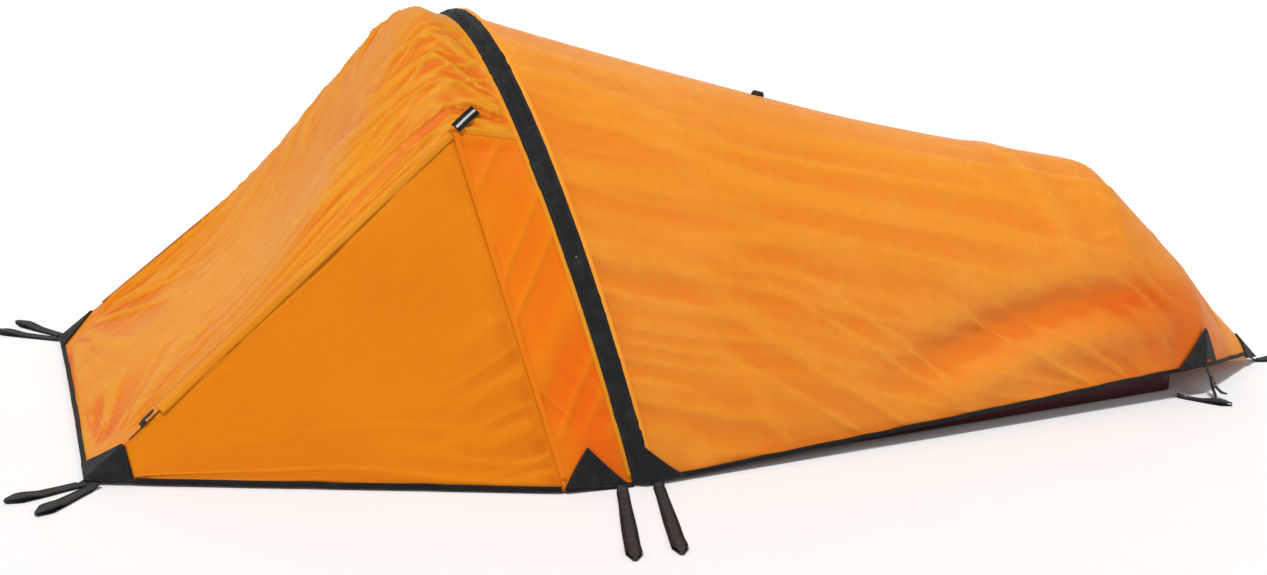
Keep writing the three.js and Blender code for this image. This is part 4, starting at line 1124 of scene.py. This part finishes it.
def make_zip(ramp_normal):
    a, b = on_side(PATCH_TOP, NEAR), on_side(SHOULDER, NEAR)
    along = unit(b - a)
    door_out = np.cross(STRIP_FOOT - FRONT_CORNER, SHOULDER - FRONT_CORNER)
    door_out = on_side(unit(door_out if door_out[1] > 0 else -door_out), NEAR)
    out = unit(door_out + ramp_normal)
    across = unit(np.cross(out, along))
    span = np.linalg.norm(b - a)
    # A fine coil along the crease.
    turns = np.linspace(0.015, 0.985, 4200)
    angle = 2 * np.pi * turns * span / 0.0021
    line = (a + turns[:, None] * (b - a) + out * (0.0012 + 0.0009 * np.sin(angle))[:, None]
            + across * (0.0016 * np.cos(angle))[:, None])
    tangent = unit(np.gradient(line, axis=0))
    first = unit(np.cross(tangent, along))
    coil = sweep("zip_coil", line, first, unit(np.cross(tangent, first)), round_profile(0.00042, 5),
                 PLASTIC,
                 slot="plastic")
    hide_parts("door_zip_coil")
    # The storm flap over the zip, open at its foot where the slider rests.
    ramp_side = unit(np.cross(ramp_normal, along))
    ramp_side *= np.sign(ramp_side[2])
    door_side = unit(np.cross(door_out, along))
    door_side *= -np.sign(door_side[2])
    section = np.array([ramp_side * 0.027 + ramp_normal * 0.0022,
                        ramp_side * 0.018 + ramp_normal * 0.0040,
                        ramp_side * 0.008 + ramp_normal * 0.0056, out * 0.0066,
                        door_side * 0.006 + door_out * 0.0052,
                        door_side * 0.0105 + door_out * 0.0034])
    section = resample(section, 0.0026)
    t = np.linspace(0.105, 0.995, 240)
    free = np.linspace(0, 1, len(section))[None]
    flutter = noise(t[:, None] * span / 0.045, free * 2, 500) * 0.0018 * free
    grid = a + t[:, None, None] * (b - a) + section[None] + flutter[..., None] * out
    flap = cloth("storm_flap", grid, RAMP_CLOTH, slot="fly_fabric",
                 tone=np.full(grid.shape[:2], 0.10))
    runs = [(a + t[:, None] * (b - a) + ramp_side * r + ramp_normal * 0.0042,
             ramp_normal) for r in (0.024, 0.019)]
    # Slider and its pull.
    home = a + (b - a) * 0.06 + across * 0.004 + out * 0.0047
    placing = placing_of(along, across, out, home)
    slider = bevelled_bars("zip_slider_body", [((0, 0, 0.0014), (0.013, 0.0085, 0.0016)),
                                              ((0, 0, -0.0014), (0.013, 0.0085, 0.0016)),
                                              ((-0.004, 0, 0), (0.004, 0.0018, 0.0030)),
                                              ((0.001, 0, 0.0032), (0.0075, 0.0022, 0.0014))],
                           placing, ZIP_METAL, body="zip_slider", slot="zip_metal")
    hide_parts("zip_slider")
    pull_line = np.array([(0.002, 0, 0.0046), (0.010, 0, 0.0052), (0.022, 0.0005, 0.0042),
                          (0.033, 0.001, 0.0046)])
    pull_line = resample(pull_line, 0.0015)
    world = home + pull_line[:, :1] * along + pull_line[:, 1:2] * across + pull_line[:, 2:] * out
    taper = 1 - 0.45 * smooth(np.linspace(0, 1, len(world)), 0.75, 1)
    profile = tape_profile(0.0066, 0.0018)[None] * np.stack([taper, np.ones_like(taper)],
                                                            -1)[:, None]
    pull = sweep("zip_pull_tab", world, across, out, profile, WEBBING, body="zip_slider",
                 slot="webbing")
    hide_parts("zip_pull")
    return flap, runs


def make_tabs():
    for label, side in SIDES:
        centre, ahead, higher = (on_side(ramp_point(*place), side) for place in
                                 ((0.93, 0.19), (0.93, 0.12), (0.80, 0.19)))
        e = 0.01
        du = ramp_point(0.93 + e, 0.19) - ramp_point(0.93 - e, 0.19)
        dv = ramp_point(0.93, 0.19 + e) - ramp_point(0.93, 0.19 - e)
        out = unit(np.cross(du, dv))
        out = on_side(out if out[2] > 0 else -out, side)
        along = unit(unit(ahead - centre) + unit(higher - centre))
        out = unit(out - along * (out @ along))
        across = np.cross(out, along)
        base = centre + out * 0.0046
        line = np.array([(-0.030, 0.0), (-0.026, 0.0012), (-0.012, 0.0026), (0.006, 0.0030),
                         (0.022, 0.0016),
                         (0.030, 0.0)])
        line = resample(line, 0.002)
        path = base + line[:, :1] * along + line[:, 1:] * out
        tab = sweep(f"guy_tab_{label}_webbing", path, across, out, tape_profile(0.023, 0.0018),
                    BINDING,
                    slot="webbing")
        sweep(f"guy_tab_{label}_stripe", path[1:-1] + out * 0.00185, across, out,
              tape_profile(0.0052, 0.0005), STRIPE, slot="webbing")
        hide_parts(f"guy_tab_{label}")
    ridge = body_point(0.0, 0.435)
    line = ridge + np.linspace(-0.016, 0.016, 24)[:,
                                                  None] * np.array([1.0, 0,
                                                                    -0.19]) + np.array([0, 0, 0.0040])
    height = 0.0115 * np.clip(1 - np.abs(np.linspace(-1, 1, 24)) ** 9, 0.3, 1)
    upright = tape_profile(0.0024, 1.0, corner=0.001)
    tab = sweep("guy_tab_ridge_webbing", line, np.array([0, 1.0, 0]),
                np.array([0.19, 0, 1.0]) / 1.018,
                upright[None] * np.stack([np.ones(24), height], -1)[:, None], WEBBING,
                slot="webbing")
    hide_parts("guy_tab_ridge")


# ---------- inner tent ----------

def tub_ring(inset, z, count=60):
    wide, narrow = 0.612 - 0.040 - inset, REAR_CORNER[1] - 0.040 - inset
    front, back = TUB_FRONT + inset, REAR_CORNER[0] - 0.040 - inset
    corners = [(front, -wide), (back - 0.020, -narrow), (back, 0), (back - 0.020, narrow),
               (front, wide),
               (front, -wide)]
    ring = []
    for (x0, y0), (x1, y1) in zip(corners, corners[1:]):
        t = np.linspace(0, 1, count, endpoint=False)
        ring.append(np.stack([x0 + (x1 - x0) * t, y0 + (y1 - y0) * t, np.full_like(t, z)], -1))
    return np.concatenate(ring)


def make_inner():
    levels = [(0.30, 0.0010), (0.12, 0.0010), (0.02, 0.0010), (0.003, 0.0016), (0.0, 0.006),
              (0.001, 0.03),
              (0.002, 0.06), (0.001, 0.091)]
    rings = []
    for k, (inset, z) in enumerate(levels):
        ring = tub_ring(inset if inset < 0.19 else 0.19, z)
        length = np.concatenate([[0], np.cumsum(np.linalg.norm(np.diff(ring, axis=0), axis=1))])
        if 4 < k < 7:
            ring[:, 2] += 0.002 * noise(length / 0.05, length * 0 + k, 600)
            ring[:, 1] -= np.sign(ring[:, 1]) * 0.0022 * (1 + noise(length / 0.07, length * 0 + k,
                                                                    601))
        rings.append(ring)
    points = np.array(rings)
    count = points.shape[1]
    centre = len(levels) * count
    vertices = np.concatenate([points.reshape(-1, 3), [[0.75, 0, 0.0010]]])
    faces = grid_faces(len(levels), count,
                       closed=True) + [[centre, (k + 1) % count, k] for k in range(count)]
    tub = make_object("floor_tub", vertices, faces, FLOOR_CLOTH,
                      uv=vertices[:, :2] + vertices[:, 2:] * [1, 1],
                      slot="floor_fabric", tone=np.zeros(len(vertices)))
    mend_normals(tub)
    skin = tub.modifiers.new("cloth thickness", "SOLIDIFY")
    skin.thickness, skin.offset = 0.0008, -1
    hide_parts("inner_floor_tub")

    def wall_normal_rise(points, seed, depth):
        across, up = arcs(points)
        return points + grid_normals(points) * (noise(across / 0.12, up / 0.15,
                                                      seed) * depth)[..., None]

    share, along = np.linspace(1, -1, 110), 0.055 + 0.935 * np.linspace(0, 1, 70)
    smooth_points = body_point(share[None, :], along[:, None], INNER_INSET)
    canopy = cloth("inner_canopy_mesh", wall_normal_rise(smooth_points, 610, 0.003), MESH,
                   slot="mesh")
    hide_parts("inner_canopy")
    declare(canopy, smooth_points, rests_on=["rear_pole"])
    for label, side in SIDES:
        u, v = np.linspace(0.985, 0.015, 50), 0.02 + 0.97 * np.linspace(0, 1, 40)
        if side < 0:
            u = u[::-1]
        smooth_points = on_side(inner_foot_point(u[None, :], v[:, None]), side)
        foot = cloth(f"inner_foot_mesh_{label}", wall_normal_rise(smooth_points, 612, 0.002), MESH,
                     slot="mesh")
        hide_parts(f"inner_foot_{label}")
        declare(foot, smooth_points, rests_on=["rear_pole"])
    make_front_wall()


def make_front_wall():
    """The mesh wall in the hoop's plane, from its doorway out to the canopy, and the panel in the doorway."""
    slope = math.hypot(HOOP_HEIGHT, HOOP_LEAN) / HOOP_HEIGHT
    base = np.array([0.052, 0, 0])
    up, wide = SLOPE, np.array([0, 1.0, 0])
    inset = INNER_INSET + 0.014
    outer_hoop = FRONT_HOOP._replace(width=1.224 - 2 * inset, height=HOOP_HEIGHT - inset,
                                     base=INNER_RIM + 0.001)
    half, low, high, shoulder = 0.330, 0.150 * slope, 0.600 * slope, 0.150

    def doorway(trim, count=220):
        w, bottom, top = half - trim, low + trim, high - trim
        t = np.linspace(0, 1, 24)
        curve = lambda sign: [(sign * (w - shoulder * (1 - k) ** 2),
                               top - shoulder * k**2) for k in 1 - t]
        points = [(0, bottom), (w, bottom)] + curve(1) + curve(-1)[::-1] + [(-w, bottom), (0, bottom)]
        return evenly(np.array(points, float), count)

    def evenly(points, count):
        length = np.concatenate([[0], np.cumsum(np.linalg.norm(np.diff(points, axis=0), axis=1))])
        places = np.linspace(0, length[-1], count, endpoint=False)
        return np.stack([np.interp(places, length, points[:, k]) for k in range(2)], -1)

    share = np.linspace(-1, 1, 200)
    arch = hoop_point(share, outer_hoop)
    arch = np.stack([arch[:, 1], arch[:, 2] * slope], -1)
    foot = arch[-1, 1]
    outline = np.concatenate([[[0, foot]], arch[::-1], [[0, foot]]])
    inner, outer = doorway(0.0), evenly(outline, 220)
    to_space = lambda flat, lift: base + flat[..., :1] * wide + flat[..., 1:] * up + lift * ACROSS
    rings = np.array([lerp(inner, outer, np.full(220, t)) for t in np.linspace(0, 1, 14)])
    ripple = noise(rings[..., 0] / 0.1, rings[..., 1] / 0.1, 620)[..., None] * 0.0008
    points = to_space(rings, 0.001) + ripple * ACROSS
    wall = make_object("inner_front_mesh", points.reshape(-1, 3), grid_faces(14, 220, closed=True),
                       MESH,
                       uv=rings, slot="mesh")
    mend_normals(wall)
    skin = wall.modifiers.new("cloth thickness", "SOLIDIFY")
    skin.thickness, skin.offset = 0.0006, 0
    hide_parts("inner_front_wall")
    rim = doorway(0.006)
    centre = np.array([0.0, (low + high) / 2])
    rings = np.array([lerp(centre[None], rim, np.full(220, t)) for t in np.linspace(0.02, 1, 16)])
    ripple = noise(rings[..., 0] / 0.12, rings[..., 1] / 0.12, 621)[..., None] * 0.0008
    points = to_space(rings, 0.001) + ripple * ACROSS
    count = 16 * 220
    vertices = np.concatenate([points.reshape(-1, 3), to_space(centre[None], 0.001)])
    faces = grid_faces(16, 220, closed=True) + [[count, (k + 1) % 220, k] for k in range(220)]
    door = make_object("inner_door_mesh", vertices, faces, MESH, uv=vertices[:, 1:], slot="mesh",
                       body="inner_door")
    mend_normals(door)
    skin = door.modifiers.new("cloth thickness", "SOLIDIFY")
    skin.thickness, skin.offset = 0.0006, 0
    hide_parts("inner_door")
    edge = to_space(np.concatenate([rim, rim[:1]]), 0.001)
    tape = ribbon_on("inner_door_tape", edge, ACROSS, 0.009, 0.0012, 0.0, BINDING,
                     body="inner_door",
                     slot="trim_fabric")
    rim = doorway(-0.007)
    edge = to_space(np.concatenate([rim, rim[:1]]), 0.001)
    ribbon_on("inner_doorway_tape", edge, ACROSS, 0.010, 0.0012, 0.0, BINDING, slot="trim_fabric")


# ---------- floor, light, camera ----------

def make_stage():
    steps = np.linspace(0, 1, 40)
    rows = [(-24.0, 0.0), (26.0, 0.0)] + [(26 + 6 * math.sin(a),
                                           6 - 6 * math.cos(a)) for a in steps * math.pi / 2]
    rows.append((32.0, 30.0))
    material, tree, shader = nodes_of("pale_floor")
    where = node(tree, "ShaderNodeTexCoord").outputs["Object"]
    grain = node(tree, "ShaderNodeTexNoise",
                 {"Vector": where, "Scale": 3.0, "Detail": 4}).outputs[0]
    tree.links.new(mix_colour(tree, grain, rgba(0.90, 0.90, 0.90), rgba(0.93, 0.93, 0.925)),
                   shader.inputs["Base Color"])
    shader.inputs["Roughness"].default_value = 0.85
    turn = Matrix.Rotation(-VIEW_YAW, 3, "Z")
    vertices = [tuple(turn @ Vector((x, y, z))) for y, z in rows for x in (-40.0, 40.0)]
    mesh = bpy.data.meshes.new("floor")
    mesh.from_pydata(vertices, [], [(2 * i, 2 * i + 1, 2 * i + 3,
                                     2 * i + 2) for i in range(len(rows) - 1)])
    mesh.polygons.foreach_set("use_smooth", [True] * len(mesh.polygons))
    mesh.materials.append(material)
    floor = bpy.data.objects.new("floor", mesh)
    bpy.context.scene.collection.objects.link(floor)


VIEW_YAW, VIEW_PITCH, VIEW_ROLL = 0.3713, 0.26678, 0.08622
VIEW_FROM = (-1.7232, -3.757, 1.351)
SENSOR_WIDTH, LENS, SHIFT_UP = 36.0, 50.79, -0.0031

WORLD_STRENGTH = 0.33
# Each sun's name, the direction toward it, its strength and its spread in degrees.
SUNS = (("high_key", (-0.40, -0.24, 0.89), 2.35, 7), ("side_fill", (0.20, -0.80, 0.55), 0.32, 40))


def make_camera():
    yaw, pitch, roll = VIEW_YAW, VIEW_PITCH, VIEW_ROLL
    ahead = Vector((math.sin(yaw) * math.cos(pitch), math.cos(yaw) * math.cos(pitch),
                    -math.sin(pitch)))
    right = Vector((math.cos(yaw), -math.sin(yaw), 0))
    up = right.cross(ahead)
    turned_right = math.cos(roll) * right + math.sin(roll) * up
    turned_up = -math.sin(roll) * right + math.cos(roll) * up
    data = bpy.data.cameras.new("camera")
    data.sensor_width, data.lens, data.shift_y = SENSOR_WIDTH, LENS, SHIFT_UP
    camera = bpy.data.objects.new("camera", data)
    camera.matrix_world = placing_of(turned_right, turned_up, -ahead, VIEW_FROM)
    bpy.context.scene.collection.objects.link(camera)
    bpy.context.scene.camera = camera


def sun(name, toward_light, strength, spread):
    data = bpy.data.lights.new(name, "SUN")
    data.energy, data.angle = strength, math.radians(spread)
    light = bpy.data.objects.new(name, data)
    light.matrix_world = Vector(toward_light).to_track_quat("Z", "Y").to_matrix().to_4x4()
    bpy.context.scene.collection.objects.link(light)


def make_lights():
    world = bpy.data.worlds.new("studio")
    world.use_nodes = True
    world.node_tree.nodes["Background"].inputs["Color"].default_value = rgba(1.0, 1.0, 1.0)
    world.node_tree.nodes["Background"].inputs["Strength"].default_value = WORLD_STRENGTH
    bpy.context.scene.world = world
    for entry in SUNS:
        sun(*entry)
    settings = bpy.context.scene.view_settings
    settings.view_transform, settings.look, settings.exposure = "Standard", "None", 0.0


# ---------- assembly ----------

make_camera()
make_stage()
make_lights()

body_piece, body_smooth = make_body()
ramp_piece, ramp_smooth = make_ramp()
walls = [make_wall(side) for _, side in SIDES]
strips = [make_strip(*entry) for entry in SIDES]
hems, hem_runs = make_hems()
patch_runs = make_patches()
front_sleeve, sleeve_runs = make_sleeve()
rear_sleeve = make_poles()
ramp_out = grid_normals(ramp_smooth)[90, -4]
storm_flap, flap_runs = make_zip(ramp_out)
seam_runs = make_seams(ramp_out)
make_tabs()

for label, side in SIDES:
    for strap, (start, end) in STRAPS.items():
        strap_on_ground(f"{strap}_{label}", np.array(start, float), np.array(end, float), side)
    rear_fly_strap(label, side)
strap_on_ground("tip_strap", np.array([TIP[0] + 0.010, 0, 0]), np.array([TIP[0] + 0.090, 0, 0]), 1)

make_inner()

black_seams = stitching("hem_stitching", hem_runs["tent"] + patch_runs + sleeve_runs, BLACK_THREAD)
door_seams = stitching("door_stitching", hem_runs["door"], BLACK_THREAD, body="door")
orange_seams = stitching("fly_stitching", flap_runs + seam_runs, ORANGE_THREAD)

body_trims = [hems[n] for n in hems if n.startswith(("body", "end"))]
declare(body_piece, body_smooth, rests_on=["rear_pole"],
        with_pieces=body_trims + [front_sleeve, rear_sleeve, black_seams])
declare(ramp_piece, ramp_smooth, rests_on=["front_pole"],
        with_pieces=[hems["front_edge_hem"], storm_flap, orange_seams])
for (piece, points), (_, side) in zip(walls, SIDES):
    trims = [hems["door_hem"], door_seams] if side < 0 else [hems["far_wall_hem"]]
    declare(piece, points, rests_on=["front_sleeve"], with_pieces=trims)
for piece, points in strips:
    declare(piece, points, rests_on=["front_sleeve"])
